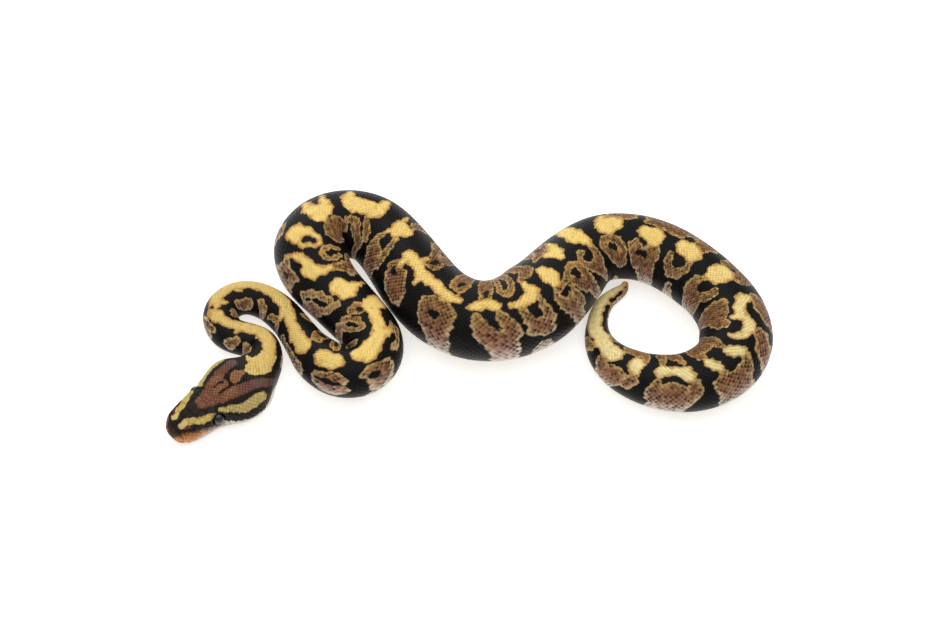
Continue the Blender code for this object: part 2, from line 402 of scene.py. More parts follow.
# The first is the long band over the nape and the neck loop, the last the tail's stripe.
SADDLES = read_marks("""
30,-20,1.9 34,-20,2 38,-22,2.4 43,-22,2.7 47,-14,2.1 51,0,1.5 54,12,1.9 58,22,2.1 62,34,3 68,36,3.1
74,28,2.8 78,16,2.3 82,-1,1.9 86,-15,1.7 90,-23,2.2 95,-25,2.5 / 40.2,10,.5 40,24,.3 / 46.5,6,.6
46.6,17,.4 / 53,22,1.1 55,46,.6 / 57.5,0,.9 58.6,-19,.6 / 64,0,.9 65.2,-9,.5 / 81.5,-14,1.6
82,-34,.8 / 90.3,-40,1.2 90.6,-48,.6 / 95,-42,1.4 95.6,-48,.7 | 56.3,40,.35 56.5,26,.3 / 55.7,-4,.45
55.6,2,.3;
101.4,-13,2 104.6,-15,2.7 / 102.6,-20,2.4;
111.8,5,3.1 115.5,-3,2.8 120,-10,2 124,-14,2 128.3,-18,2.3 128.7,-42,2.4 129.2,-64,2.4 129.6,-80,1.6
/ 111.6,16,1.2 111.6,26,.4 / 113.2,-15,2 / 119.3,-22,.8 / 119.6,-12,1.3 120.4,-28,1.2 121,-40,.7;
135.6,0,3 137.8,4,2.9 138.2,12,2.1 / 135.7,-12,2 135.8,-30,1.1 136.3,-50,.4;
144.2,-8,.9 144.3,8,1.4 146,24,2.3 147.3,34,1.4 / 147,22,2 150.5,26,1.4 152,38,.8 152.6,48,.5;
156.8,35,1.5 156.5,22,2.6 155.2,8,3 153.9,-5,2.5 | 154.4,9,.9 153.8,-4,.9;
163,-4,2.6 166,-2,2.7 / 163.8,10,2.3 166,6,2.2 / 163.6,20,1.8 165,46,.7 / 167.4,12,1.3 168,42,.4;
174,2,2.8 177.5,1,3 181,3,2.8 / 173,16,1.8 173.3,40,.4 / 181.4,18,1.8 180.8,44,.5 / 175.2,-11,1.2 /
181,-8,1.3;
189.4,15,2.2 192,15,2.3 / 190.8,4,2.6 / 187.8,28,.8 186.9,44,.3 / 189.6,-8,.9 189.4,-14,.6 /
193.2,-6,.9;
200.6,-6,2.1 204,-4,1.8 208,-9,1.9 213.5,-6,1.8 217,-12,1.6 220.6,-12,1.2 / 208.6,-16,1.4
208.7,-26,.6 / 201.3,-14,1.2 201.4,-26,.9 / 203.6,3,1 204,14,.7 / 219.8,-6,.6 / 217.2,-20,.8;
224.8,-16,1.5 227.5,-10,1.8 229.8,-14,1.6;
233.4,-18,.9 236.2,-20,1.6 238.6,-16,2 240,-11,1.5 / 239,-5,1.5 239.2,4,1;
246.2,4,2.1 246.3,-7,2.8 246,-19,1.8;
254,4,1.6 254.6,14,2.6 252.6,20,1.5 / 256.4,24,1.7 257.3,38,.7;
264.2,62,1.5 264,48,2 263.6,28,2.4 263.4,11,3.1 264.2,-4,2 / 264.4,-9,1.4 264,-16,1;
272.6,5,3.2 274.4,10,3 / 272,24,1.5 272.5,40,.5 / 276.3,20,.8;
283.6,-4,2.4 286.5,-7,3.1 / 287.3,-18,1.8;
295.6,1,2.7 298.6,-1,2.9 / 297,10,1.8;
308.5,9,3.4 308.4,1,3.5 / 307,-15,.9;
318.2,24,1.3 318.5,12,2 321.5,2,1.8 324.3,2,1.7 324.8,-10,.9 / 324.8,12,1.5 326.8,21,1.9
329.6,12,1.4 330.9,2,1 331,-10,.6;
333.6,25,1.5 335,12,1.7 336.2,2,.8;
339.8,24,1.2 341.2,10,1.6 341.8,2,.9;
346.8,25,1.5 348,13,2 351,9,1.3 353.8,10,1.8 354,20,1.2;
360.4,22,1.7 360.6,8,2.4 359.9,2,1.4;
368,8,2.8 372,6,2.4 376,0,2.6 380,14,2.4 384,18,2.2 388,16,2 392,14,1.8 396,12,1.5 400,8,1.1
402.5,0,.6 / 376.3,-24,1.1 / 385,-20,.8 / 368.4,26,.7 / 384,60,1.6 396,60,1.2 / 391.4,-14,.9
391.4,-40,.6
""")

RIGHT_FLANK = read_marks("""
33,52,1.1 36.5,58,1.5 35.6,85,1.6 35.5,112,1.8;
42.8,52,1.1 42,62,1.4 42.2,80,1.4 42.3,112,1.4;
46,42,1.1 46.6,55,1.6 47,68,1.3;
51.5,52,.9 53.5,64,1.6 53,85,1.7 52.5,112,1.8;
61,84,1.5 61,112,2.1;
69.5,86,1.8 69.5,112,2.3;
78,80,1.6 78,112,2.1;
84.5,46,1.2 85.5,62,1.9 85.5,85,2 85.5,112,2 | 85.3,60,.5;
96.4,15,1.2 94.8,24,2.2 94.2,38,2.9 94.2,60,2.8 94,85,2.6 93.6,112,2.4 | 92.2,42,.6 94.4,40,.9
96.2,36,.6;
103.3,21,1.3 101.8,32,1.9 100,48,1.5 99.7,70,1.4 99.8,112,1.8 | 102.4,30,.6 101.4,38,.7 100.4,46,.4;
107.2,42,.9 107.3,60,1.2 107.3,112,1.6;
116.6,40,.8 115,49,1.5 115,70,1.6 115,112,1.8;
122.4,26,1 123.8,40,.8 126.3,54,.9 129,58,1 / 122.8,21,.9 126,22,.9 128.3,34,.9 129.6,48,1 /
129,64,1.5 128,85,1.8 128,112,2;
129,4,2 129.5,20,1.4 | 128.3,5,.9;
134.2,30,.9 134.6,48,.9 136.3,64,1.1 138.5,76,1.6 / 136.2,37,1 140,44,1 143,58,1 144,72,1 /
139.5,76,2.2 140.5,90,3 140.5,112,3;
147.8,56,1 150.2,66,2.5 150.5,82,2.9 150.5,112,2.9 / 152.3,49,.8 151.5,58,1.2 | 150.5,70,.8;
158.6,55,1.3 158.8,72,1.9 158.8,112,2.2;
168,72,2.1 168,112,2.6;
178,72,2.4 178.5,112,2.8;
190.6,39,1.5 191,58,2.2 190.5,85,2.6 190.5,112,2.8;
206.6,20,2.9 203.4,34,1.6 199.2,52,1.8 198.4,80,2.4 198.3,112,2.5 / 206.5,40,2.2 205.5,62,2.2
205.4,112,2.3 / 202,72,3 202.6,112,3 | 206.4,25,1 206.2,17,.7;
218.8,16,3.2 218.2,34,3.4 218,60,3.4 218,85,3.2 218,112,2.8 | 219,18,1 219,12,.8;
227.5,0,1.9 227.3,20,2.7 227.3,45,2.9 227.3,80,2.7 227.3,112,2.6 | 227.5,9,.9 227.6,1,.7;
231.6,28,1 232,8,1 233.6,-1,1.1 235.3,6,1.1 236.4,25,1.2 235.6,45,2 234,60,2.7 233.8,112,2.5 /
231.6,28,1 232.2,48,1.5;
239,6,.8 239.3,14,1 242.3,19,2.2 243.8,24,2 242,38,2.4 241,60,2.7 241,112,2.4;
248.6,29,.9 252,34,1.8 256,42,1.4 / 250.5,45,1.6 251.5,60,2.3 252.5,85,2.6 252.5,112,2.5 /
257,46,1.1 256,60,1.6 | 254,42,1;
265,74,2.1 265,112,2.5;
275.2,36,1.8 278.6,32,1.9 277,48,3.6 277,80,3.2 277,112,2.8;
283.6,24,1.4 286.5,29,2.5 291,29,3 291,46,3.9 289,65,3.8 288.5,112,3 / 285,42,3 286.5,60,2.8;
298.8,29,2.4 298.6,45,3.4 298.2,70,3 298.2,112,2.4;
306.5,34,2 311.5,34,2.6 309.5,46,4.6 309.3,65,4.1 309,90,3.1 309,112,2.9 | 309,37,.7;
318.3,37,1.7 319.8,46,2.9 321.5,58,3.2 321.8,75,2.7 321.8,112,2.4;
327.4,38,1.5 328.8,52,2.6 329.8,70,2.3 330.3,112,1.8;
333.5,36,1 334.6,50,1.4 335.2,68,.9 / 334.8,48,1.6 337.5,53,2 340.5,52,1.8 / 339.6,36,.9
340.8,50,1.5 340,72,1.9 339.6,112,1.9 / 337.4,64,2.8 337.4,112,3.4;
346,36,1.2 346,52,1.7 347.5,64,2.2 / 353.8,38,1.1 354.6,52,1.8 354,66,2.4 / 350.5,58,3.4 351,80,4
352.5,112,4;
360,36,1.2 360.2,50,1.6 361,62,1.6 / 368.3,34,1 369.3,48,1.6 368,64,2.2 / 364.5,60,3 366.5,80,3.1
367.3,112,2.6;
374.8,52,1.4 376.6,72,2.3 377,112,2.4
""")

LEFT_FLANK = read_marks("""
34.5,86,1.2 34.5,112,1.5;
43,82,1.3 43,112,1.5;
52.6,53,1.4 55.8,56,1.4 / 54.2,64,1.8 54,80,1.5 54,112,1.5;
62,46,1.2 61.8,58,1.3 65.5,60,1.8 68.6,47,1.2 69.3,60,1.4 / 65,66,1.5 67,70,1.3;
72.6,34,.8 73.8,50,1 74.8,75,.7 75,112,.8 / 72.8,35,.8 75.5,46,.9 76.2,62,.7 75.7,85,.6;
78.2,70,.7 79,53,.9 81,47,1 82.6,60,.8 83.2,85,.7 83,112,.8 / 80.6,53,1.2;
87.3,72,1.2 88.5,84,1.7 92.7,86,2.3 97.2,75,1.5 97.7,90,1.7 / 91,112,2.8 96.2,112,2.8;
106,55,2 104.4,67,3 105.5,81,2.6 106,90,1.4 | 102.8,66,.5 104.6,66,.8 106.8,64,.6;
111.8,46,1.8 113.2,58,2.6 113,74,1.9 112.6,112,2 | 112.2,57,1;
121.4,36,.6 122.3,46,.7 121.3,56,.8 119.4,58,.9 118,50,.9 117.9,44,.6 / 119.8,98,.9 119.8,112,1.6;
131,98,1.8 131,112,2.4;
143.8,13,1.2 143,26,1.6 143.3,46,2 / 140,34,.9 141.5,48,1.6 144,60,2.2 147,72,2.4 148,112,2.6;
146.4,26,.8 147,12,.9 148.6,8,.9 150.3,16,1 151,30,.9 150.2,45,1 / 146.4,26,.8 147.5,42,.9;
155.3,47,1.6 157,32,1.6 160,30,1.8 164,30,2.2 168,36,2 172,42,1.2 / 157,48,2.2 162,48,3 167,47,2.6
171.5,46,1.2 / 163,17,1.3 163.8,26,1.4 / 160,80,1.2 160,112,2.4;
172.8,30,1.2 176,27,1 178.5,36,1.4 180,50,1.8 184,62,1.8 182,95,2 182,112,2.4 / 180.4,16,1
181.5,26,1.2 184,36,1.6 186,48,1 / 176,42,1.2 178,50,1.2;
189.4,18,.8 188.8,30,1 190,48,1.6 192.5,60,2.2 / 193.6,12,.8 194.6,24,1 195.6,40,1.2 195.6,58,1.4 /
191.9,46,2.3 193,70,3 193,92,2.4 192.5,112,2.6 | 191.6,28,1.1 / 189.6,64,.4 190.2,72,.3;
200.7,34,2.1 203.3,44,3.6 205.2,56,3.8 206.5,66,2.4 / 201.5,24,1.2 / 205,98,1.4 205,112,2.2 |
202.2,41,1 201,36,.6;
217.2,41,4.4 217.8,58,3.8 218.8,75,2.7 219.5,95,2.2 219.5,112,2.4 / 213.6,33,.8 / 221,33,.9 |
217.2,45,1.3;
226.4,37,1.5 228,55,2.5 230.5,72,2.9 231,95,2.4 231,112,2.4 / 231,34,1.4 232.3,46,1.6 232.2,60,2 /
225.4,26,.7 226,36,1 / 230.4,24,.7 231,34,1.2 | 227.9,27,1.1 228.8,38,.9 230,50,.4;
235.5,25,.8 235.7,34,.9 236.2,46,1.3 237.5,60,2.4 238.8,70,1.8 / 240,25,.8 240.1,34,.9 240.2,46,1.1
239.6,60,1.6 / 237.6,95,1.7 237.8,112,2.2 | 237.8,33,1.1 237.6,44,.7;
243.8,36,.9 244.3,52,1.5 246,70,1.8 247.3,92,1.7 247.5,112,2.2 / 248.4,38,.8 248.6,55,1.3
248.6,72,1.4 / 244.6,31,1.1 246.4,28,1.1 250,29,1 / 246.5,53,1.5 247.2,75,1.6 | 247.3,38,.8
247.5,44,.5;
250.2,23,1.1 253,17,1.1 255,25,1.1 255.2,40,1.4 254,58,2 254.8,80,1.8 256,100,1.5 256,112,2 /
250,30,1 251.5,43,2 252.5,55,2.2 | 252.6,29,1.2 252.2,36,.7;
256.8,34,1 257.3,22,1 259,16,1 260.4,20,.6 / 257.6,42,1.5 260,51,2.6 261.5,68,2 262,84,1.1 /
264,16,1.2 264,30,1.5 262.8,45,2.2 / 262,112,2.4 | 261,27,1.1;
268.3,34,1.3 269.2,23,1.3 272,20,1.4 275.5,28,1.5 277.3,44,1.4 277,60,1.8 / 269.5,40,1.5
272.3,50,2.6 275.5,60,2.6 276.5,67,1.7 / 273,46,2.5 / 273,112,2.2 | 271.6,33,.9 273.3,38,1
274.3,41,.6;
280,34,1.1 281.3,28,1.1 283,34,1.1 / 280.8,44,1.6 283.8,56,3.5 286.5,57,4.1 287.3,75,3.9 288,95,3.3
288,112,3.2 / 287.3,25,1.8 288.3,40,2.4 / 285,38,1.1 | 283,45,.9 285.8,45,.9;
293.8,26,1.1 294.2,40,1.4 296.5,53,1.6 299,48,1.4 300.3,34,1.1 300.2,20,.9 | 296.8,24,1.4
297.3,37,.9;
298.2,74,.8 298,86,1.6 298,112,2.1;
307,17,.8 306.3,26,1 305,34,1.2 305.2,48,2.2 / 312.8,25,1.4 313.4,34,1.4 312,46,1.8 / 307.5,58,3.9
308.5,70,4 308.3,90,3.7 308,112,3.4 | 308.5,32,1.6 308.6,39,1.5;
318,24,1.6 320.2,22,1.4 323,28,1.2 / 327,22,1.7 328,32,1.6 / 318.5,38,2.4 323,40,3.8 326,38,2.6 /
320,56,3.8 323,58,3.2 / 320.3,75,3.2 321.5,95,2.9 322,112,2.8;
335.6,6,.8 335.6,16,1.4 335.8,32,2.4 336,55,2.5 334.5,80,2.5 334.5,112,2.5 / 341.8,6,.9 342.8,16,1.6
343.5,32,2.6 343.5,55,2.7 343,80,2.5 343,112,2.5 / 338.6,26,1.7 341,30,1.7 / 339.5,45,3.4
339.4,70,3.6 339,112,3.6;
348,6,.7 349,18,1.1 351,36,2.2 353.5,55,2.7 353,80,2.6 352.5,112,2.6 / 353.8,8,.9 354.2,22,1.3
355.5,38,1.6;
358.8,9,.9 359.5,22,1.4 361.5,38,2.2 363.5,60,2.5 363,85,2.4 362.5,112,2.4 / 366,24,1.2 367.5,38,1.3
367,52,1.5 / 362.5,32,2.3 365,38,2.4;
373,42,1 376,52,1.6 377,70,1.6 377,112,1.8;
380,86,.7 385,86,.8 390,86,.9 395,84,.9 401,80,.7 / 380,112,1.4 390,108,1.2 401,100,1
""", -1)

# The same on the head, with distances from the middle in millimetres in place of angles,
# laid one over another in this order.
HEAD_MARKS = {
    "snout": "-1,-2.4,1.6 -1,0,1.7 -1,2.4,1.6",
    "crown": """11.2,-.5,2.1 13.6,-.5,3.1 / 15,0,2.5 18.4,0,1.6 / 15.5,2.3,1.5 20,3.9,1.6
        25.2,4.6,1.4 / 15.5,-2.7,1.6 20,-3.8,1.7 25,-5.1,1.35 28,-7.4,1""",
    "side": "28,-7.3,.7 29.2,-8.6,1.1 29.8,-10.5,1.3 / 28,7.3,.7 29.2,8.6,1.1 29.8,10.5,1.3",
    "tan": """15.6,0,.9 17.6,.1,.95 / 16.6,-3.2,.9 19.2,-3.1,1.2 / 16.4,2.9,.9 18.8,2.8,1 /
        18.9,0,.5 19.4,.7,.4""",
    "dark": """15.9,1.1,.25 17.5,1.45,.35 18.5,.8,.3 / 15.8,-1.3,.3 17.8,-1.25,.35 19.8,-1.5,.4
        20.2,-.2,.45 20.2,1.4,.45 20.9,2.3,.3 / 21.4,-2,.5 24.3,-1.7,.7 25.4,.1,.6
        24.6,2.2,.7 22,2.6,.4""",
    "spot": "21.6,-.5,1.3 22.8,.3,1.7 24.3,.1,.9",
    "yellow": "26,-.2,.7 28.2,-1.2,2.5 30,-1.8,3.2 33,-2.2,2.3 38,-2.2,2.4 / 29.6,1.6,1 30.3,3.2,.5",
    "stripe": """3,-1.5,.85 4.3,-1.7,.95 6,-3.1,.85 8,-4.5,.9 10,-5.2,.95 11.8,-5.3,.4 /
        13.8,-5.4,.65 15.5,-6.5,.8 17.5,-7.9,1 19.5,-9,1.45 22,-9.1,1.65 24,-9,1.4 /
        3.2,1.9,.9 4.8,2.7,.85 7,3.1,.9 8.8,4.1,.9 10.6,5,.85 11.8,5.6,.4 / 13.7,4.7,.6
        15,6,.8 17,7.3,1 19.5,8.4,1.4 22,8.8,1.6 24.2,8.8,1.4""",
    "nostril": "3.6,-2.9,.45 4.1,-3.3,.35 / 3.6,3.1,.45 4.1,3.5,.35",
}
# Distance from the middle of the back at which the lips' pale colour starts.
LIP_EDGE = [(-2, 1.2), (0, 2.2), (2, 3.7), (4, 5.2), (6, 6.5), (8, 7.6), (11, 8.8), (14, 9.9),
            (17, 12.2), (20, 13.9), (24, 13.6), (26, 11.5), (27.5, 10.0), (29.5, 10.3), (33, 11.4)]

BLACK = tint(14, 13, 12)
GREY = tint(96, 94, 90)
CREAM = tint(226, 219, 205)
YELLOW = tint(245, 213, 126)
GOLD = tint(226, 195, 116)
PALE_YELLOW = tint(240, 222, 158)
AMBER = tint(172, 114, 50)
# Colours of a brown mark's rim and middle by the angle from the middle of the back.
RIM_STOPS = [(0, tint(196, 154, 88)), (45, tint(190, 156, 100)), (75, tint(206, 182, 146)),
             (100, tint(222, 210, 190))]
FILL_STOPS = [(0, tint(150, 106, 56)), (30, tint(143, 102, 59)), (60, tint(143, 100, 72)),
              (78, tint(168, 126, 104)), (92, tint(202, 178, 160)), (106, tint(226, 214, 200))]
HEAD_TINTS = {"snout": tint(84, 58, 48), "crown": tint(126, 80, 58), "side": tint(84, 64, 58),
              "tan": tint(142, 98, 68), "dark": tint(24, 19, 17), "spot": tint(152, 106, 68),
              "yellow": GOLD, "stripe": tint(204, 178, 98), "nostril": tint(116, 62, 50)}
HEAD_GROUND = tint(36, 30, 26)
MAUVE = tint(108, 74, 64)
# Half width of the soft border, where it isn't HEAD_EDGE.
HEAD_SOFTNESS = {"tan": 0.45, "side": 0.7, "snout": 0.8, "crown": 0.25, "nostril": 0.25}
LIP_ORANGE = tint(216, 146, 92)
NOSTRIL_TAN = tint(218, 188, 122)
OLIVE = tint(196, 174, 110)


def stops(table, value):
    """A colour read from a table of (place, colour)."""
    places, colours = zip(*table)
    return np.stack([np.interp(value, places, np.array(colours)[:, i]) for i in range(3)], axis=-1)


def stroke_gap(u, v, stroke):
    """Distance outside one stroke; negative inside."""
    best = np.full(u.shape, 1e9)
    for (u0, v0, r0), (u1, v1, r1) in zip(stroke, stroke[1:] or stroke):
        du, dv = u1 - u0, v1 - v0
        share = np.clip(((u - u0) * du + (v - v0) * dv) / max(du * du + dv * dv, 1e-6), 0, 1)
        best = np.minimum(best, np.hypot(u - u0 - share * du, v - v0 - share * dv)
                          - r0 - share * (r1 - r0))
    return best


def blend_gap(gaps, softness):
    """The nearest of several gaps, with rounded inner corners."""
    gaps = np.array(gaps)
    least = gaps.min(axis=0)
    return least - softness * np.log(np.exp(-(gaps - least) / softness).sum(axis=0))


def wander(u, v):
    """A slow uneven drift of the marks' edges."""
    return (0.16 * np.sin(1.7 * u + 0.9 * v + 0.4) + 0.13 * np.sin(-1.1 * u + 2.3 * v + 1.9)
            + 0.08 * np.sin(3.1 * u - 1.3 * v) + 0.06 * np.sin(2.3 * u + 3.7 * v + 2.2))


class Markings:
    """Colours over the body, read by station and angle."""

    REACH = 3.0           # how far past its ends a mark is looked for
    FAR = 9.0

    def __init__(self, form):
        self.form = form
        self.saddles = [self.flatten(mark) for mark in SADDLES]
        self.flanks = [self.flatten(mark) for mark in RIGHT_FLANK + LEFT_FLANK]
        self.head_marks = {name: read_strokes(text) for name, text in HEAD_MARKS.items()}

    def millimetres(self, station, degrees):
        """Angles as distances round a body of that girth."""
        return np.radians(degrees) * self.form.half_width(station) * MEAN_RADIUS

    def flatten(self, mark):
        """A mark's span along the body, its strokes and its cuts, all in millimetres."""
        solid, cut = ([[(s, float(self.millimetres(s, a)), r) for s, a, r in stroke]
                       for stroke in part] for part in mark)
        ends = [s + sign * r for stroke in solid for s, _, r in stroke for sign in (-1, 1)]
        return min(ends) - self.REACH, max(ends) + self.REACH, solid, cut

    def nearest(self, marks, u, v):
        """Gap to the nearest mark, and the same with the marks' cuts filled in."""
        gap = np.full(u.shape, self.FAR)
        filled = np.full(u.shape, self.FAR)
        for low, high, solid, cut in marks:
            here = (u > low) & (u < high)
            if not here.any():
                continue
            x, y = u[here], v[here]
            mine = blend_gap([stroke_gap(x, y, stroke) for stroke in solid], MARK_JOIN)
            filled[here] = np.minimum(filled[here], mine)
            for stroke in cut:
                mine = np.maximum(mine, -stroke_gap(x, y, stroke))
            gap[here] = np.minimum(gap[here], mine)
        return gap, filled

    def body(self, station, angle):
        """Colour, and whether the place is in a brown mark or a yellow one."""
        degrees = np.degrees(angle)
        away = np.abs(degrees)
        u, v = station, self.millimetres(station, degrees)
        drift = wander(u, v)
        flank, filled = (gap + drift for gap in self.nearest(self.flanks, u, v))
        saddle = self.nearest(self.saddles, u, v)[0] + drift
        # black that turns grey down the flanks
        colour = mix(np.broadcast_to(BLACK, u.shape + (3,)), GREY, ramp(78, 114, away) * 0.5)
        # brown marks: a wide soft rim on the outside, a faint one round the cuts
        rim = np.maximum(0.55 * ramp(-1.3, -0.5, filled) + 0.45 * ramp(-0.6, -0.25, filled),
                         0.25 * ramp(-0.5, -0.15, flank))
        brown = mix(stops(FILL_STOPS, away), stops(RIM_STOPS, away), rim)
        in_flank = flank < 0
        colour = mix(colour, brown, 1 - ramp(-EDGE, EDGE, flank))
        # saddles: yellow, deeper on the neck, paler on the tail, browner where they reach down
        bright = mix(GOLD, YELLOW, ramp(85, 110, station))
        bright = mix(bright, PALE_YELLOW, ramp(285, 345, station))
        bright = mix(bright, AMBER, ramp(-1.0, -0.15, saddle) * 0.7)
        bright = mix(bright, stops(FILL_STOPS, away), ramp(44, 62, away) * ramp(85, 95, station) * 0.8)
        in_saddle = saddle < 0
        colour = mix(colour, bright, 1 - ramp(-EDGE, EDGE, saddle))
        colour = mix(colour, CREAM, ramp(BELLY_ANGLE - 4, BELLY_ANGLE + 6, away))
        return colour, in_flank & (filled < -0.3) & ~in_saddle & (away < 106), in_saddle

    def both(self, station, angle, distance):
        """Colours anywhere, with the head's marks where they apply."""
        colour, brown, yellow = self.body(station, angle)
        front = station < HEAD_END
        if front.any():
            there = self.head(station[front], angle[front], distance[front])
            colour[front], brown[front], yellow[front] = there
        return colour, brown, yellow

    def head(self, station, angle, distance):
        """The head's own marks over a dark ground, and the pale lips."""
        colour, brown, yellow = self.body(np.maximum(station, 27.0), angle)
        ground = np.broadcast_to(HEAD_GROUND, colour.shape)
        colour = mix(ground, colour, ramp(29.5, 33, station))
        brown, yellow = brown & (station > 31), yellow & (station > 31)
        drift = 0.6 * wander(1.3 * station, 1.3 * distance)
        cloud = wander(2.6 * station, 2.6 * distance) / 0.3
        for name, strokes in self.head_marks.items():
            gap = blend_gap([stroke_gap(station, distance, stroke) for stroke in strokes], HEAD_JOIN)
            gap = gap + drift
            inside = (gap < 0) & (station < HEAD_BLEND[1])
            soft = HEAD_SOFTNESS.get(name, HEAD_EDGE)
            cover = (1 - ramp(-soft, soft, gap)) * (station < HEAD_BLEND[1])
            paint = HEAD_TINTS[name]
            if name in ("crown", "tan", "spot"):
                paint = paint * (1 + 0.16 * cloud)[..., None]
            if name == "crown":
                paint = mix(paint, MAUVE, ramp(18, 24, station))
            if name == "stripe":
                paint = mix(NOSTRIL_TAN, paint, ramp(3.8, 5.4, station))
                paint = mix(paint, OLIVE, ramp(12, 16, station))
            colour = mix(colour, paint, cover)
            yellow = yellow | (inside & (name in ("yellow", "stripe")))
        # lips: orange at the snout, dusky before the eye, cream behind it
        away = np.abs(distance)
        edge = np.interp(station, *zip(*LIP_EDGE))
        mottle = 0.5 + 0.5 * np.sin(5.3 * station + 2.1 * away) * np.sin(3.7 * away - 2.9 * station)
        reach = 1.5 + 1.2 * (1 - ramp(3, 7, station))
        orange = mix(LIP_ORANGE, CREAM, ramp(reach, reach + 1.1, away - edge))
        orange = mix(orange, MAUVE, 0.7 * mottle * (1 - ramp(0.3, 1.6, away - edge)))
        lip = mix(orange, CREAM, ramp(6.0, 10.5, station))
        dusk = ramp(6.5, 8.5, station) * (1 - ramp(12, 13.5, station))
        lip = mix(lip, MAUVE, 0.75 * dusk * (1 - ramp(0.7, 1.9, away - edge)))
        fade = 0.25 + 0.6 * (1 - ramp(7, 11, station))
        below = ramp(-fade, fade + 0.1, away - edge + drift) * (1 - ramp(31, 34, station))
        return mix(colour, lip, below), brown, yellow


# ---- meshes

MAP_STRIPS = 2
MAP_MARGIN = 2.0
PATCH = 0.003             # size on the map of one scale's or plate's corners


def map_place(station, angle):
    """Place on the unwrap: the body cut into strips by station, each laid out by angle."""
    strip_length = (TAIL_END + 2 * MAP_MARGIN) / MAP_STRIPS
    along = (station + MAP_MARGIN) / strip_length
    strip = np.clip(np.floor(along), 0, MAP_STRIPS - 1)
    turn = np.mod(angle / (2 * pi) + 0.5, 1)
    u = 0.002 + 0.996 * (along - strip)
    v = (strip + 0.01 + 0.98 * turn) / MAP_STRIPS
    return np.stack([u, v], axis=-1)


class Shape:
    """Vertices, faces, colours and map places gathered for one piece."""

    def __init__(self):
        self.vertices, self.colours = [], []
        self.loops, self.starts, self.places = [], [], []
        self.count = self.corners = 0

    def add(self, vertices, colours, faces, places=None, roots=None):
        """faces: (rows of corner numbers, whether they lie flat on their root's place)."""
        for block, hidden in faces:
            self.starts.append(self.corners + np.arange(len(block)) * block.shape[1])
            self.loops.append((block + self.count).ravel())
            self.corners += block.size
            if places is not None:
                source = roots if hidden else places
                self.places.append(source[block.ravel()])
        self.vertices.append(vertices)
        self.colours.append(colours)
        self.count += len(vertices)

    def build(self, name):
        mesh = bpy.data.meshes.new(name)
        vertices = np.concatenate(self.vertices) * MM
        loops = np.concatenate(self.loops).astype(np.int32)
        starts = np.concatenate(self.starts).astype(np.int32)
        mesh.vertices.add(len(vertices))
        mesh.vertices.foreach_set("co", vertices.astype(np.float32).ravel())
        mesh.loops.add(len(loops))
        mesh.loops.foreach_set("vertex_index", loops)
        mesh.polygons.add(len(starts))
        mesh.polygons.foreach_set("loop_start", starts)
        mesh.update(calc_edges=True)
        mesh.validate()
        marks = mesh.color_attributes.new("marks", "FLOAT_COLOR", "POINT")
        colours = np.concatenate(self.colours)
        opaque = np.ones((len(colours), 1))
        marks.data.foreach_set("color", np.hstack([colours, opaque]).astype(np.float32).ravel())
        if self.places:
            layer = mesh.uv_layers.new(name="OFBake")
            layer.data.foreach_set("uv", np.concatenate(self.places).astype(np.float32).ravel())
        mesh.polygons.foreach_set("use_smooth", np.ones(len(starts), bool))
        piece = bpy.data.objects.new(name, mesh)
        bpy.context.scene.collection.objects.link(piece)
        return piece


def plate_faces(around, rings):
    """Faces of one plate: a middle vertex, rings round it, and a flat underside."""
    k = np.arange(around)
    after = (k + 1) % around
    blocks = [(np.stack([np.zeros(around, int), 1 + k, 1 + after], axis=1), False)]
    for ring in range(rings - 1):
        inner, outer = 1 + ring * around, 1 + (ring + 1) * around
        blocks.append((np.stack([inner + k, outer + k, outer + after, inner + after], axis=1), False))
    blocks.append((np.array([1 + (rings - 1) * around + k[::-1]]), True))
    return blocks


def many_faces(blocks, size, copies):
    offset = (np.arange(copies) * size)[:, None, None]
    return [((block[None] + offset).reshape(-1, block.shape[1]), hidden) for block, hidden in blocks]


# ---- rows of scales

ROWS = 61                 # rows counted on each flank, more than any body width needs
MIDDLE_ROW = 0.82         # the back's rows are this narrow, and each row further down is wider
ROW_WIDENING = 0.0075
SCALE_LENGTH = 0.60       # half length of a scale over the run, so that scales meet
SCALE_WIDTH = 0.98
SCALE_SQUARENESS = 2 / 1.4
SCALE_CORNERS = 8
SCALE_RINGS = (0.6, 0.93, 1.0)
SCALE_LIFT = (-0.135, 0.05, 0.05)   # at the front, from there to the rear tip, and in the middle
LEAST_STRETCH = 0.2       # a bend's inside more crowded than this gets no scales
MARK_FOLLOW = 0.7         # how far a mark's edge runs on through a scale instead of round it
DARK_SCALES = 0.12        # share of the brown scales that are darker
DARK_SCALE = 0.55         # and their colour over the others'
DOTS = 0.03               # share of the yellow scales that are darker
DOT = np.array([0.88, 0.78, 0.6])
WARM_RIM = np.array([1.1, 1.0, 0.75])       # of a yellow scale
WORN_TIP = np.array([0.76, 0.6, 0.42])      # of a yellow scale
# How light a scale is on its rim, just inside the rim and within.
RIM_SHADES = {"black": (0.42, 0.86, 1.0), "brown": (0.25, 0.7, 1.12), "yellow": (0.66, 0.93, 1.0)}


def on_body(station):
    return np.clip(station, 0.3, TAIL_END - 0.1)


def by_girth(form, station, size, power):
    return size * (form.half_width(station) / USUAL_GIRTH) ** power


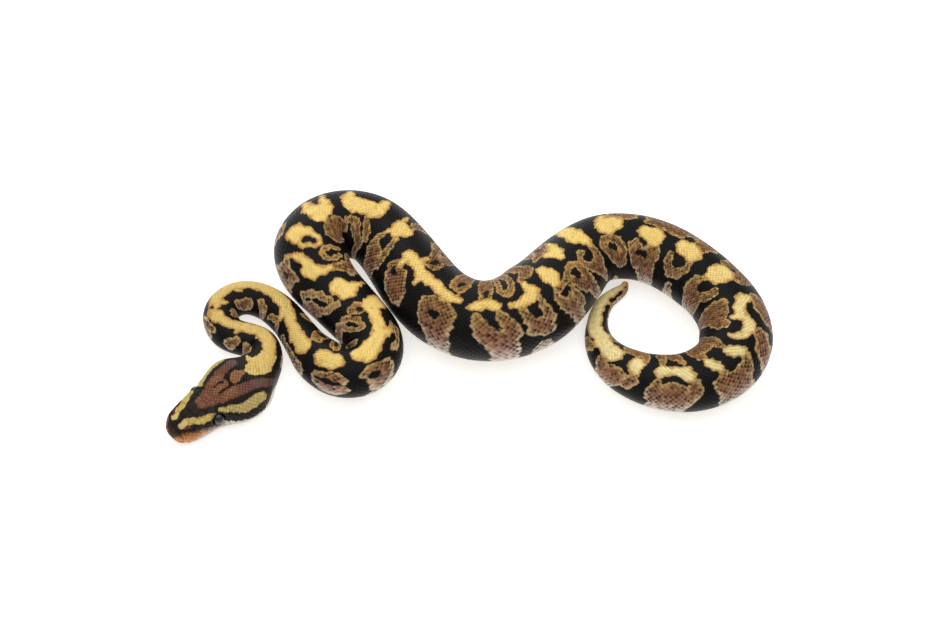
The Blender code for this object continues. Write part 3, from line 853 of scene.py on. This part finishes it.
def lattice(form, low, high):
    """Scale centres (station, distance from the middle of the back) with their spacings."""
    fine = np.arange(0, TAIL_END, 0.1)
    phase = np.cumsum(0.1 / by_girth(form, fine, SCALE_RUN, RUN_GROWTH))
    found = []
    for row in range(1 - ROWS, ROWS):
        numbers = np.arange(int(phase[-1]) + 1) + 0.5 * (row % 2)
        station = np.interp(numbers, phase, fine)
        station = station[(station >= low) & (station < high) & (numbers > phase[0])]
        width = by_girth(form, station, ROW_WIDTH, ROW_GROWTH)
        distance = width * (MIDDLE_ROW * row + ROW_WIDENING * row * abs(row))
        spacing = width * (MIDDLE_ROW + 2 * ROW_WIDENING * abs(row))
        run = by_girth(form, station, SCALE_RUN, RUN_GROWTH)
        behind_head = ramp(CELL_END, BELLY_START, station)
        belly = BELLY_SHARE * form.half_width(station) * behind_head
        reach = form.half_way_round(station, 1 if row >= 0 else -1) - belly
        keep = np.abs(distance) < reach + 0.3 * behind_head
        found.append(np.stack([station, distance, run, spacing], axis=1)[keep])
    return np.concatenate(found)


def scale_template():
    """Corners of one scale: p along the body, q across, and the share of the way to the edge."""
    turn = np.arange(SCALE_CORNERS) * 2 * pi / SCALE_CORNERS
    p, q = (np.sign(wave) * np.abs(wave) ** SCALE_SQUARENESS for wave in (np.cos(turn), np.sin(turn)))
    q = q / np.abs(q).max()
    share = np.concatenate([[0], np.repeat(SCALE_RINGS, SCALE_CORNERS)])
    p, q = (np.concatenate([[0]] + [values * ring for ring in SCALE_RINGS]) for values in (p, q))
    return p, q, share


def shade(brown, yellow, chance):
    """Small differences from scale to scale, and single dark scales and dots."""
    count = len(brown)
    spread = np.where(brown, 0.11, 0.045)
    bright = np.clip(1 + spread * chance.standard_normal(count), 0.7, 1.3)
    warm = 0.02 * chance.standard_normal(count)
    tone = bright[:, None] * np.stack([1 + warm, np.ones(count), 1 - warm], axis=1)
    dark = brown & (chance.random(count) < DARK_SCALES)
    dot = yellow & (chance.random(count) < DOTS)
    tone = np.where(dark[:, None], tone * DARK_SCALE, tone)
    return np.where(dot[:, None], tone * DOT, tone)


def paint_scales(marks, looked, station, p, share, chance):
    """Colours of the scales' corners, darker on the rims and at the rear tips."""
    painted, brown, yellow = marks.both(*looked)
    tone = shade(brown[:, 0], yellow[:, 0], chance)
    depth = np.clip(chance.uniform(-0.3, 1.25, len(tone)), 0, 0.9)[:, None]
    tip = ramp(-0.3, 0.55, p)[None, :] * brown * depth
    neck_dot = 0.5 * ramp(0.55, 0.9, p)[None, :] * yellow * (1 - ramp(60, 100, station))
    on_rim = share > 0.99
    rims = {kind: np.where(on_rim, rim, np.where(share > 0.9, near, within))
            for kind, (rim, near, within) in RIM_SHADES.items()}
    edge = np.where(yellow, rims["yellow"], np.where(brown, rims["brown"], rims["black"]))
    edge = edge * (1 - np.maximum(tip, neck_dot))
    warmth = np.where((yellow & on_rim)[..., None], WARM_RIM, 1.0)
    worn = chance.uniform(0.0, 0.7, len(tone))[:, None] * ramp(0.1, 0.8, p)[None, :] * yellow
    painted = painted * tone[:, None, :] * edge[..., None] * warmth
    return mix(painted, painted * WORN_TIP, worn)


def add_scales(shape, form, marks, centres, chance):
    """Lays a scale at each of the given centres."""
    angle = form.angle_at(*centres.T[:2])
    ahead, back = (form.points(centres[:, 0] + step, angle) for step in (0.2, -0.2))
    keep = np.linalg.norm(ahead - back, axis=1) / 0.4 > LEAST_STRETCH
    station, distance, run, spacing = centres[keep].T[:, :, None]
    middle = angle[keep][:, None]
    p, q, share = scale_template()
    count = len(station)
    length = SCALE_LENGTH * run * (1 + 0.03 * chance.standard_normal(count))[:, None]
    width = SCALE_WIDTH * spacing * (1 + 0.02 * chance.standard_normal(count))[:, None]
    s = on_body(station + p * length)
    right, left = (form.half_way_round(s, side) - 0.02 for side in (1, -1))
    t = np.clip(distance + q * width, -left, right)
    angle = form.angle_at(s, t)
    point, normal = form.points_and_normals(s, angle)
    front, rise, dome = SCALE_LIFT
    lift = front + rise * (p + 1) + dome * (1 - q ** 2) * (1 - 0.5 * p ** 2)
    lift = np.where(share > 0.99, -PLATE_FOOT, lift)
    lift = lift + chance.uniform(-0.008, 0.008, count)[:, None]
    point = point + normal * lift[..., None]
    point[..., 2] = np.maximum(point[..., 2], 0.0)
    looked = (here + MARK_FOLLOW * (there - here) for here, there in
              ((station, s), (middle, angle), (distance, t)))
    painted = paint_scales(marks, looked, s, p, share, chance)
    root = map_place(station, middle)
    place = root + np.stack([p, q], axis=-1) * PATCH / 2
    shape.add(point.reshape(-1, 3), painted.reshape(-1, 3),
              many_faces(plate_faces(SCALE_CORNERS, len(SCALE_RINGS)), len(p), count),
              place.reshape(-1, 2), np.broadcast_to(root, place.shape).reshape(-1, 2))


# ---- belly plates

PLATE_THICKNESS = 0.12
BELLY_SEAM = 0.04         # half the seam between the paired plates behind the vent
BELLY_LENGTH = 0.56       # half length of a plate over its run, so that plates overlap
BELLY_FRONT = -0.13       # how far a plate's front edge stands out from the solids
BELLY_RISE = 0.05         # and its middle further out than that
PLATE_ACROSS = 17
PLATE_ALONG = (-1.0, -0.4, 0.4, 0.85, 1.0)


def belly_angle(form, station, across):
    """Angle at a distance from the middle of the belly; past pi on the animal's left."""
    right = form.angle_at(station, form.half_way_round(station, 1) - np.abs(across))
    left = form.angle_at(station, -(form.half_way_round(station, -1) - np.abs(across)))
    return np.where(across < 0, right, 2 * pi + left)


def belly_spans(form):
    """Plates from the neck to the vent, and pairs of them behind it."""
    spans = []
    station = BELLY_START
    while station < TAIL_END - 3:
        width = form.half_width(station)
        run = BELLY_RUN * (width / USUAL_GIRTH) ** 0.25
        if abs(station - VENT) < run / 2:
            run *= 1.5
        half = BELLY_SHARE * width
        if station < VENT:
            spans.append((station, run, -half, half))
        else:
            spans += [(station, run, -half, -BELLY_SEAM), (station, run, BELLY_SEAM, half)]
        station += run
    return spans


def belly_plates(form, marks, chance):
    """One broad plate at each span, lifted at its rear, with a skirt down into the skin."""
    shape = Shape()
    columns, rows = PLATE_ACROSS, len(PLATE_ALONG)
    p = np.repeat(np.array(PLATE_ALONG)[:, None], columns, axis=1)
    q = np.repeat(np.linspace(-1, 1, columns)[None], rows, axis=0)
    numbers = np.arange(rows * columns).reshape(rows, columns)
    top = np.stack([numbers[:-1, :-1], numbers[1:, :-1], numbers[1:, 1:], numbers[:-1, 1:]], axis=-1)
    rim = np.concatenate([numbers[:, 0], numbers[-1, 1:], numbers[-2::-1, -1], numbers[0, -2:0:-1]])
    foot = rows * columns + np.arange(len(rim))
    skirt = np.stack([rim, foot, np.roll(foot, -1), np.roll(rim, -1)], axis=1)
    faces = [(top.reshape(-1, 4), False), (skirt, False), (foot[::-1][None], True)]
    for station, run, low, high in belly_spans(form):
        length = BELLY_LENGTH * run * (1 - 0.35 * np.abs(q) ** 8)
        s = on_body(station + p * length)
        across = (low + high) / 2 + q * (high - low) / 2
        angle = belly_angle(form, s, across)
        point, normal = form.points_and_normals(s, angle)
        point = point + normal * (BELLY_FRONT + BELLY_RISE * (p + 1))[..., None]
        point[..., 2] = np.maximum(point[..., 2], 0.0)
        under, under_normal = point.reshape(-1, 3)[rim], normal.reshape(-1, 3)[rim]
        point = np.concatenate([point.reshape(-1, 3), under - under_normal * PLATE_THICKNESS])
        colour, _, _ = marks.body(s, np.where(angle > pi, angle - 2 * pi, angle))
        tone = 1 + 0.05 * chance.standard_normal()
        colour = colour * tone * np.where(p > 0.9, 0.85, 1.0)[..., None]
        colour = np.concatenate([colour.reshape(-1, 3), colour.reshape(-1, 3)[rim] * 0.5])
        middle = belly_angle(form, np.array([station]), np.array([(low + high) / 2]))
        root = map_place(np.array([station]), middle)[0]
        place = root + np.stack([p, q], axis=-1).reshape(-1, 2) * PATCH / 2
        place = np.concatenate([place, place[rim]])
        shape.add(point, colour, faces, place, np.broadcast_to(root, place.shape))
    return shape


# ---- skin, and the head's surface under its plates

SKIN_AROUND = 144
SKIN_SHADE = np.array([0.76, 0.66, 0.54])   # the skin's colour over that of the scales on it


def eye_axes(form, surface):
    """Centre and outward direction of each eye."""
    eyes = []
    for side in (-1, 1):
        centre = form.place(EYE_STATION, side * EYE_OUT, EYE_HEIGHT)
        nearest = np.array(surface.find_nearest(Vector(centre))[0])
        eyes.append((side, centre, unit(nearest - centre)))
    return eyes


# Skin before an eye: distance from the eye's axis, the distance and the depth it is moved to.
SOCKET = [(0, 0, -1.95), (0.9, 1.5, -1.3), (1.3, 1.85, -0.3), (1.62, 1.80, 0.3), (1.75, 1.75, 0.42)]


def sink_sockets(points, eyes):
    """Pushes the skin in front of each eye behind the eyeball."""
    for _, centre, axis in eyes:
        offset = points - centre
        depth = offset @ axis
        flat = offset - depth[:, None] * axis
        radius = np.linalg.norm(flat, axis=1)
        near = (radius < SOCKET[-1][0]) & (depth > 0) & (depth < 3)
        if not near.any():
            continue
        old, new, deep = zip(*SOCKET)
        r = radius[near]
        outward = flat[near] / np.maximum(r, 1e-6)[:, None]
        points[near] = (centre + outward * np.interp(r, old, new)[:, None]
                        + axis * np.interp(r, old, deep)[:, None])
    return points


def surface_rings(form, stations, around, depth, folds=True):
    """Rings of the body's surface at even distances round, with the head's folds."""
    rings = []
    for station in stations:
        right, left = (float(form.half_way_round(station, side)) for side in (1, -1))
        distance = np.linspace(-left, right, around, endpoint=False)
        angle = form.angle_at(np.full(around, station), distance)
        point, normal = form.points_and_normals(np.full(around, station), angle)
        lift = np.full(around, -depth)
        if folds and station < HEAD_END:
            place = form.locate(point)
            lift = lift + head_relief(*place) * (1 - ramp(28, 33, station))
        rings.append((point + normal * lift[:, None], np.full(around, station), angle, distance))
    return rings


def tube_faces(rings, around):
    """Faces of a tube: its wall, and a fan at each end to the two vertices after the rings."""
    k = np.arange(around)
    after = (k + 1) % around
    first = (np.arange(rings - 1) * around)[:, None]
    low, high = first + k, first + after
    wall = np.stack([low, low + around, high + around, high], axis=-1).reshape(-1, 4)
    last = (rings - 1) * around
    tip = np.full(around, rings * around)
    front, back = np.stack([tip, k, after], 1), np.stack([tip + 1, last + after, last + k], 1)
    return [(wall, False), (front, False), (back, False)]


def skin(form, marks, eyes):
    """The one skin under the coat, from the snout to the tail's tip."""
    stations = np.concatenate([np.arange(0.2, HEAD_END, 0.3), np.arange(HEAD_END, 394, 0.9),
                               np.arange(394, TAIL_END - 0.1, 0.4)])
    rings = surface_rings(form, stations, SKIN_AROUND, COAT_DEPTH)
    points = np.concatenate([ring[0] for ring in rings])
    station, angle, distance = (np.concatenate([ring[i] for ring in rings]) for i in (1, 2, 3))
    points = sink_sockets(points, eyes)
    points[:, 2] = np.maximum(points[:, 2], 0.05)
    colour = marks.body(station, angle)[0]
    front = station < HEAD_BLEND[1]
    colour[front] = marks.head(station[front], angle[front], distance[front])[0]
    colour = colour * SKIN_SHADE
    tips = np.array([rings[0][0].mean(axis=0), rings[-1][0].mean(axis=0)])
    direction = unit(rings[-1][0].mean(axis=0) - rings[-2][0].mean(axis=0))
    tips[1] += direction * 0.3
    shape = Shape()
    shape.add(np.concatenate([points, tips]), np.concatenate([colour, colour[[0, -1]]]),
              tube_faces(len(stations), SKIN_AROUND))
    return shape


def head_surface(form):
    """The head's plain outer surface, for setting plates on."""
    around = 160
    stations = np.concatenate([np.arange(0.0, 6, 0.15), np.arange(6, 38, 0.3)])
    rings = surface_rings(form, stations, around, 0.0, folds=False)
    points = np.concatenate([ring[0] for ring in rings])
    middle = rings[0][0].mean(axis=0)
    forward = unit(middle - rings[4][0].mean(axis=0))
    tip = middle + forward * 0.3
    (wall, _), (front, _), _ = tube_faces(len(stations), around)
    corners = [Vector(p) for p in np.vstack([points, tip])]
    return BVHTree.FromPolygons(corners, wall.tolist() + front.tolist())


# ---- head plates

# Plates on either side of the middle: station, distance from the middle of the back, reach.
CROWN_PLATES = {
    "internasal": (1.5, 0.85, 0.80),
    "front nasal": (2.3, 2.55, 0.75),
    "back nasal": (4.5, 3.75, 0.75),
    "front prefrontal": (3.6, 1.25, 1.15),
    "inner prefrontal": (5.8, 0.8, 0.85),
    "outer prefrontal": (6.1, 2.5, 0.95),
    "low front loreal": (5.6, 5.2, 0.65),
    "front loreal": (6.5, 4.2, 0.70),
    "low loreal": (7.1, 5.6, 0.60),
    "back loreal": (8.1, 4.7, 0.65),
    "front frontal": (8.2, 1.05, 1.05),
    "upper preocular": (8.6, 3.2, 0.85),
    "preocular": (9.5, 5.2, 0.75),
    "brow": (11.7, 3.9, 1.05),
    "frontal": (10.6, 1.05, 1.0),
    "side parietal": (12.9, 2.3, 0.65),
    "parietal": (13.0, 0.75, 0.68),
}
# The lips' plates from front to back, and how far from the mouth's line their middles lie.
LIP_STATIONS = (0.9, 2.3, 3.9, 5.6, 7.3, 9.0, 10.7, 12.4, 14.1, 15.8, 17.5, 19.2, 20.9)
LOWER_LIP_STATIONS = (0.8, 2.4, 4.0, 5.7, 7.4, 9.1, 10.8, 12.5, 14.2, 15.9, 17.6, 19.3, 21.0)
LIP_RISE = 0.95
LIP_REACH = 0.88
BACK_LIP = (17, 0.7)      # station from where the lip's plates are smaller, and their reach
LOWER_LIP_DROP = 0.72
LOWER_LIP_REACH = 0.72
EYE_RING = 13             # small scales round each eye
EYE_RING_RADIUS = 2.18
EYE_RING_REACH = 0.42
EYE_OPENING = 1.74
EYE_RIM = tint(62, 62, 62)
# painted shade for the insides of the nostrils and heat pits
PAINTED_HOLE_SHADE = tint(14, 10, 9)
SMALL_REACH = 0.50
PLATE_SEAM = 0.006
LARGE_REACH = 0.58        # a cell that reaches further is a plate
LARGE_FOLLOW = 0.9
LARGE_RINGS = (0.22, 0.42, 0.6, 0.75, 0.87, 0.96, 1.0)
SMALL_RINGS = (0.5, 0.9, 1.0)


def head_seeds(form, plain, eyes, centres):
    """Middles of the head's plates: point, station, distance from the middle, reach, kind."""
    seeds = []

    def add(station, distance, reach, kind, point=None):
        if point is None:
            point = form.spot(station, distance)
        seeds.append((point, station, distance, reach, kind))

    for side in (-1, 1):
        for station, distance, reach in CROWN_PLATES.values():
            add(station, side * distance, reach, "plate")
        for station in LIP_STATIONS:
            reach = LIP_REACH if station < BACK_LIP[0] else BACK_LIP[1]
            add(station, form.level(station, side, mouth_height(station) + LIP_RISE)[1], reach, "lip")
        for station in LOWER_LIP_STATIONS:
            height = max(mouth_height(station) - LOWER_LIP_DROP, 0.9)
            add(station, form.level(station, side, height)[1], LOWER_LIP_REACH, "lower lip")
    add(-0.6, 0.0, 0.95, "rostral", form.place(0.0, 0.0, 3.1))
    add(-0.6, 30.0, 0.8, "mental", form.place(0.3, 0.0, 1.75))
    for side, centre, axis in eyes:
        up = unit(np.array([0, 0, 1.0]) - axis * axis[2])
        across = np.cross(axis, up)
        for number in range(EYE_RING):
            turn = 2 * pi * (number + 0.5) / EYE_RING
            point = centre + axis * 0.9 + EYE_RING_RADIUS * (cos(turn) * up + sin(turn) * across)
            found = np.array(plain.find_nearest(Vector(point))[0])
            station, _, height = (float(v[0]) for v in form.locate(found[None]))
            add(station, form.level(station, side, height)[1], EYE_RING_REACH, "eye ring", found)
    named = np.array([seed[0] for seed in seeds])
    reaches = np.array([seed[3] for seed in seeds])
    angle = form.angle_at(centres[:, 0], centres[:, 1])
    points = form.points(centres[:, 0], angle)
    for row, point in zip(centres, points):
        if row[0] < 0.6:
            continue
        gap = np.linalg.norm(named - point, axis=1)
        crowding = 1.0 if row[0] < 11 else 0.82
        if (gap < crowding * (reaches + SMALL_REACH)).any():
            continue
        if any(np.linalg.norm(np.cross(point - c, a)) < EYE_RING_RADIUS + 0.55
               and (point - c) @ a > 0 for _, c, a in eyes):
            continue
        seeds.append((point, row[0], row[1], SMALL_REACH, "small"))
    return seeds


def cell_radius(turn, bearings, limits, largest):
    """Distance from a seed to its cell's edge in each direction."""
    power = 12
    facing = np.maximum(0, np.cos(turn[:, None] - bearings[None]))
    total = ((facing / limits[None]) ** power).sum(axis=1) + (1 / largest) ** power
    return total ** (-1 / power)


def pits_and_nostrils(form):
    """Middles of the nostrils and the heat pits: point, radius, depth."""
    holes = []
    for side in (-1, 1):
        holes.append((form.spot(NOSTRIL[0], side * NOSTRIL[1]), NOSTRIL_RADIUS, NOSTRIL_DEPTH))
        for station in PIT_STATIONS:
            angle, _ = form.level(station, side, mouth_height(station) + PIT_RISE)
            point = form.points(np.array([station]), np.array([angle]))[0]
            holes.append((point, PIT_RADIUS, PIT_DEPTH))
        out, height, radius, depth = SNOUT_PIT
        holes.append((form.place(0.0, side * out, height), radius, depth))
    return holes


def cell_axes(form, plain, middle, station, kind):
    """Directions along and round the body at a cell; up and across at the snout's tip."""
    normal = np.array(plain.find_nearest(Vector(middle))[1])
    heading = form.spine(np.array([station]))[2][0]
    ahead = np.array([float(np.cos(heading)), float(np.sin(heading)), 0.0])
    if kind in ("rostral", "mental"):
        ahead = np.array([0, 0, 1.0])
    ahead = unit(ahead - normal * (ahead @ normal))
    return ahead, np.cross(normal, ahead)


def cell_limits(middle, own, middles, reaches, eyes, ahead, around):
    """Bearings of a cell's neighbours and of the eye, and how far the cell may reach there."""
    offset = middles - middle
    gap = np.linalg.norm(offset, axis=1)
    near = (gap > 0.05) & (gap < 2.4 * (own + reaches))
    bearings = np.arctan2(offset[near] @ around, offset[near] @ ahead)
    limits = gap[near] * own / (own + reaches[near]) - PLATE_SEAM / 2
    for _, centre, axis in eyes:
        off = middle - centre
        if off @ axis > -1 and np.linalg.norm(off) < 4.5:
            flat = off - axis * (off @ axis)
            bearings = np.append(bearings, np.arctan2(-flat @ around, -flat @ ahead))
            limits = np.append(limits, max(np.linalg.norm(flat) - EYE_OPENING, 0.12))
    return bearings, np.maximum(limits, 0.1)


def cell_points(form, plain, holes, flat, lift):
    """Places a cell's corners on the head, with its folds and holes; and the painted shade in the holes.
    """
    found = [plain.find_nearest(Vector(corner)) for corner in flat]
    point, outward = (np.array([hit[i] for hit in found]) for i in (0, 1))
    outward = unit(outward + 0.6 * outward.mean(axis=0))
    fold = head_relief(*form.locate(point))
    # how much painted shade each corner gets, most in the middle of a nostril or heat pit
    dark = np.zeros(len(point))
    for hole, radius, depth in holes:
        hollow = 1 - ramp(0.45 * radius, radius, np.linalg.norm(point - hole, axis=1))
        lift = lift - depth * hollow
        dark = np.maximum(dark, hollow)
    point = point + outward * (lift + fold)[:, None]
    point[:, 2] = np.maximum(point[:, 2], 0.0)
    return point, dark


def head_cells(form, marks, plain, eyes, centres, chance):
    """The plates and small scales of the head as separate cells that fit together."""
    seeds = head_seeds(form, plain, eyes, centres)
    middles, reaches = (np.array([seed[i] for seed in seeds]) for i in (0, 3))
    holes = pits_and_nostrils(form)
    shape = Shape()
    for middle, station, distance, own, kind in seeds:
        if station > CELL_END:
            continue
        ahead, around = cell_axes(form, plain, middle, station, kind)
        bearings, limits = cell_limits(middle, own, middles, reaches, eyes, ahead, around)
        large = own > LARGE_REACH
        corners, rings = (32, LARGE_RINGS) if large else (12, SMALL_RINGS)
        turn = np.arange(corners) * 2 * pi / corners
        edge = cell_radius(turn, bearings, limits, 1.5 * own)
        share = np.concatenate([[0], np.repeat(rings, corners)])
        dx, dy = (np.concatenate([[0]] + [ring * edge * wave for ring in rings])
                  for wave in (np.cos(turn), np.sin(turn)))
        if large:
            lift = -0.02 - 0.05 * share ** 6
        else:
            lift = -0.075 * share ** 2.5 + 0.04 * dx / own * ramp(8, 20, station)
        lift = np.where(share > 0.99, -PLATE_FOOT, lift) + chance.uniform(-0.01, 0.01)
        flat = middle + dx[:, None] * ahead + dy[:, None] * around
        point, dark = cell_points(form, plain, holes, flat, lift)
        if kind in ("rostral", "mental"):
            looked_s, looked_t = np.full(len(dx), station), distance + dy
        else:
            follow = LARGE_FOLLOW if large else MARK_FOLLOW
            looked_s, looked_t = station + follow * dx, distance + follow * dy
        behind_snout = np.maximum(looked_s, 0)
        right, left = (form.half_way_round(behind_snout, side) - 0.02 for side in (1, -1))
        angle = form.angle_at(behind_snout, np.clip(looked_t, -left, right))
        colour = marks.head(looked_s, angle, looked_t)[0]
        if kind == "rostral":
            colour = mix(colour, LIP_ORANGE, 0.85 * ramp(-0.1, 0.7, -dx))
        if kind == "eye ring":
            colour = mix(colour, EYE_RIM, 0.6)
        tone = shade(np.array([False]), np.array([False]), chance)
        rim = np.where(share > 0.99, 0.9, np.where(share > 0.93, 0.98, 1.0))
        # painted shade: corners in the nostrils and heat pits are darkened towards near black
        colour = mix(colour * tone * rim[:, None], PAINTED_HOLE_SHADE, dark * 0.92)
        root = map_place(np.array([max(station, -1.5)]), np.array([angle[0]]))[0]
        patch = root + np.stack([dx, dy], axis=-1) / edge.max() * PATCH / 2
        shape.add(point, colour, plate_faces(corners, len(rings)), patch,
                  np.broadcast_to(root, patch.shape))
    return shape


# ---- eyes

IRIS = tint(40, 27, 19)
IRIS_EDGE = tint(14, 11, 9)
PUPIL = tint(6, 5, 5)
EYE_BACK = tint(16, 12, 10)
PUPIL_SIZE = (0.13, 0.5)  # half width and half height over the eye's radius


def eyeball(centre, axis):
    """A ball with a dark iris and an upright slit of a pupil."""
    rings, around = 40, 56
    up = unit(np.array([0, 0, 1.0]) - axis * axis[2])
    side = np.cross(up, np.array(Vector(axis)))
    shape = Shape()
    polar = np.linspace(0, pi, rings + 2)[1:-1]
    turn = np.arange(around) * 2 * pi / around
    x = np.cos(polar)[:, None] * np.ones(around)
    y = np.sin(polar)[:, None] * np.cos(turn)
    z = np.sin(polar)[:, None] * np.sin(turn)
    local = np.stack([x, y, z], axis=-1).reshape(-1, 3)
    local = np.vstack([local, [[1, 0, 0], [-1, 0, 0]]])
    point = centre + EYE_RADIUS * (local[:, :1] * axis + local[:, 1:2] * side + local[:, 2:] * up)
    off = np.hypot(local[:, 1], local[:, 2])
    slit = np.hypot(local[:, 1] / PUPIL_SIZE[0], local[:, 2] / PUPIL_SIZE[1])
    iris = mix(np.broadcast_to(IRIS, (len(local), 3)), IRIS_EDGE, ramp(0.5, 0.8, off))
    streak = 0.85 + 0.3 * np.sin(26 * np.arctan2(local[:, 2], local[:, 1])) ** 2
    colour = mix(np.broadcast_to(PUPIL, iris.shape), iris * streak[:, None], ramp(0.85, 1.15, slit))
    colour = np.where((local[:, 0] < 0)[:, None], EYE_BACK, colour)
    shape.add(point, colour, tube_faces(rings, around))
    return shape


# ---- materials

def add_node(tree, kind, **settings):
    node = tree.nodes.new(f"ShaderNode{kind}")
    for name, value in settings.items():
        node.inputs[name.replace("_", " ")].default_value = value
    return node


def new_material(name):
    material = bpy.data.materials.new(name)
    material.use_nodes = True
    return material, material.node_tree, material.node_tree.nodes["Principled BSDF"]


def surface(name, roughness, variation, bump, grain, coat=0.0, speckle=0.08, coat_roughness=0.2):
    """A material that takes its colour from the marks, with fine grain and uneven gloss."""
    material, tree, shader = new_material(name)
    marks = add_node(tree, "Attribute")
    marks.attribute_name = "marks"
    place = add_node(tree, "TexCoord")
    fine = add_node(tree, "TexNoise", Scale=grain, Detail=4)
    tone = add_node(tree, "MapRange", To_Min=1 - speckle, To_Max=1 + speckle)
    tinted = add_node(tree, "VectorMath")
    tinted.operation = "SCALE"
    gloss = add_node(tree, "MapRange", To_Min=roughness - variation, To_Max=roughness + variation)
    raised = add_node(tree, "Bump", Strength=bump, Distance=0.00004)
    for source, output, target, socket in (
            (place, "Object", fine, "Vector"), (fine, "Fac", tone, "Value"),
            (marks, "Color", tinted, 0), (tone, "Result", tinted, "Scale"),
            (tinted, "Vector", shader, "Base Color"), (fine, "Fac", gloss, "Value"),
            (gloss, "Result", shader, "Roughness"), (fine, "Fac", raised, "Height"),
            (raised, "Normal", shader, "Normal")):
        tree.links.new(source.outputs[output], target.inputs[socket])
    shader.inputs["Specular IOR Level"].default_value = 0.12
    shader.inputs["Coat Weight"].default_value = coat
    shader.inputs["Coat Roughness"].default_value = coat_roughness
    return material


# ---- floor, light and camera

CAMERA_TARGET = (-0.00092, -0.00117, 0.008)
CAMERA_ELEVATION = 53
CAMERA_DISTANCE = 0.7158
FLOOR_HALF = 3.0
FLOOR_GLOW = 0.41         # keeps the floor pale beside the body


def studio():
    """A pale floor, an even backdrop, a soft light overhead and one behind, and the camera."""
    scene = bpy.context.scene
    scene.view_settings.view_transform = "Standard"
    world = bpy.data.worlds.new("studio")
    world.use_nodes = True
    backdrop = world.node_tree.nodes["Background"]
    backdrop.inputs["Color"].default_value = (1.0, 0.99, 0.975, 1)
    backdrop.inputs["Strength"].default_value = 0.38
    scene.world = world
    mesh = bpy.data.meshes.new("floor")
    corners = [(x * FLOOR_HALF, y * FLOOR_HALF, 0) for x, y in ((-1, -1), (1, -1), (1, 1), (-1, 1))]
    mesh.from_pydata(corners, [], [(0, 1, 2, 3)])
    floor = bpy.data.objects.new("floor", mesh)
    scene.collection.objects.link(floor)
    paper, tree, shader = new_material("paper")
    fibre = add_node(tree, "TexNoise", Scale=900)
    tone = add_node(tree, "MapRange", To_Min=0.88, To_Max=0.90)
    tree.links.new(fibre.outputs["Fac"], tone.inputs["Value"])
    tree.links.new(tone.outputs["Result"], shader.inputs["Base Color"])
    shader.inputs["Roughness"].default_value = 0.9
    shader.inputs["Emission Color"].default_value = (1, 1, 1, 1)
    shader.inputs["Emission Strength"].default_value = FLOOR_GLOW
    mesh.materials.append(paper)
    for name, place, size, power in (("overhead", (0.0, 0.2, 1.4), 2.4, 19.0),
                                     ("behind", (-0.5, 1.3, 0.75), 1.0, 4.5)):
        light = bpy.data.lights.new(name, "AREA")
        light.shape = "DISK"
        light.size = size
        light.energy = power
        lamp = bpy.data.objects.new(name, light)
        lamp.location = place
        lamp.rotation_euler = Vector(place).to_track_quat("Z", "Y").to_euler()
        scene.collection.objects.link(lamp)
    camera_data = bpy.data.cameras.new("camera")
    camera_data.lens = 100
    camera_data.sensor_width = 36
    camera = bpy.data.objects.new("camera", camera_data)
    tilt = radians(CAMERA_ELEVATION)
    away = Vector((0, -cos(tilt), sin(tilt))) * CAMERA_DISTANCE
    camera.location = Vector(CAMERA_TARGET) + away
    camera.rotation_euler = (radians(90 - CAMERA_ELEVATION), 0, 0)
    scene.collection.objects.link(camera)
    scene.camera = camera


# ---- putting it together

def finish(shape, name, material):
    """Makes a piece of a shape, and says what it rides on and is made of."""
    piece = shape.build(name)
    piece.data.materials.append(material)
    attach(piece, "root")
    return piece


def main():
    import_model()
    form = Form()
    marks = Markings(form)
    chance = np.random.default_rng(SEED)
    plain = head_surface(form)
    eyes = eye_axes(form, plain)
    scale = surface("scales", roughness=0.36, variation=0.08, bump=0.35, grain=2500)
    under = surface("skin", roughness=0.60, variation=0.10, bump=0.5, grain=3000)
    belly = surface("belly", roughness=0.36, variation=0.06, bump=0.25, grain=1500, coat=0.1,
                    speckle=0.05)
    wet = surface("eye", roughness=0.06, variation=0.01, bump=0.0, grain=1500, coat=1.0,
                  speckle=0.03, coat_roughness=0.02)
    body = finish(skin(form, marks, eyes), "skin", under)
    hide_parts("head", "neck", *[f"trunk_{n:02d}" for n in range(1, 12)], "tail")
    centres = lattice(form, 0, TAIL_END - 0.5)
    on_head = centres[centres[:, 0] < HEAD_END]
    shape = head_cells(form, marks, plain, eyes, on_head, chance)
    add_scales(shape, form, marks, on_head[on_head[:, 0] > CELL_END], chance)
    finish(shape, "coat_head", scale)
    for number, (low, high) in enumerate(zip(COAT_SPLITS, COAT_SPLITS[1:]), 1):
        shape = Shape()
        here = centres[(centres[:, 0] >= low) & (centres[:, 0] < high)]
        add_scales(shape, form, marks, here, chance)
        finish(shape, f"coat_{number:02d}", scale)
    finish(belly_plates(form, marks, chance), "coat_belly", belly)
    for name, (_, centre, axis) in zip(("eye_left", "eye_right"), eyes):
        ball = finish(eyeball(centre, axis), f"ball_{name}", wet)
        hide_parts(name)
    studio()


main()
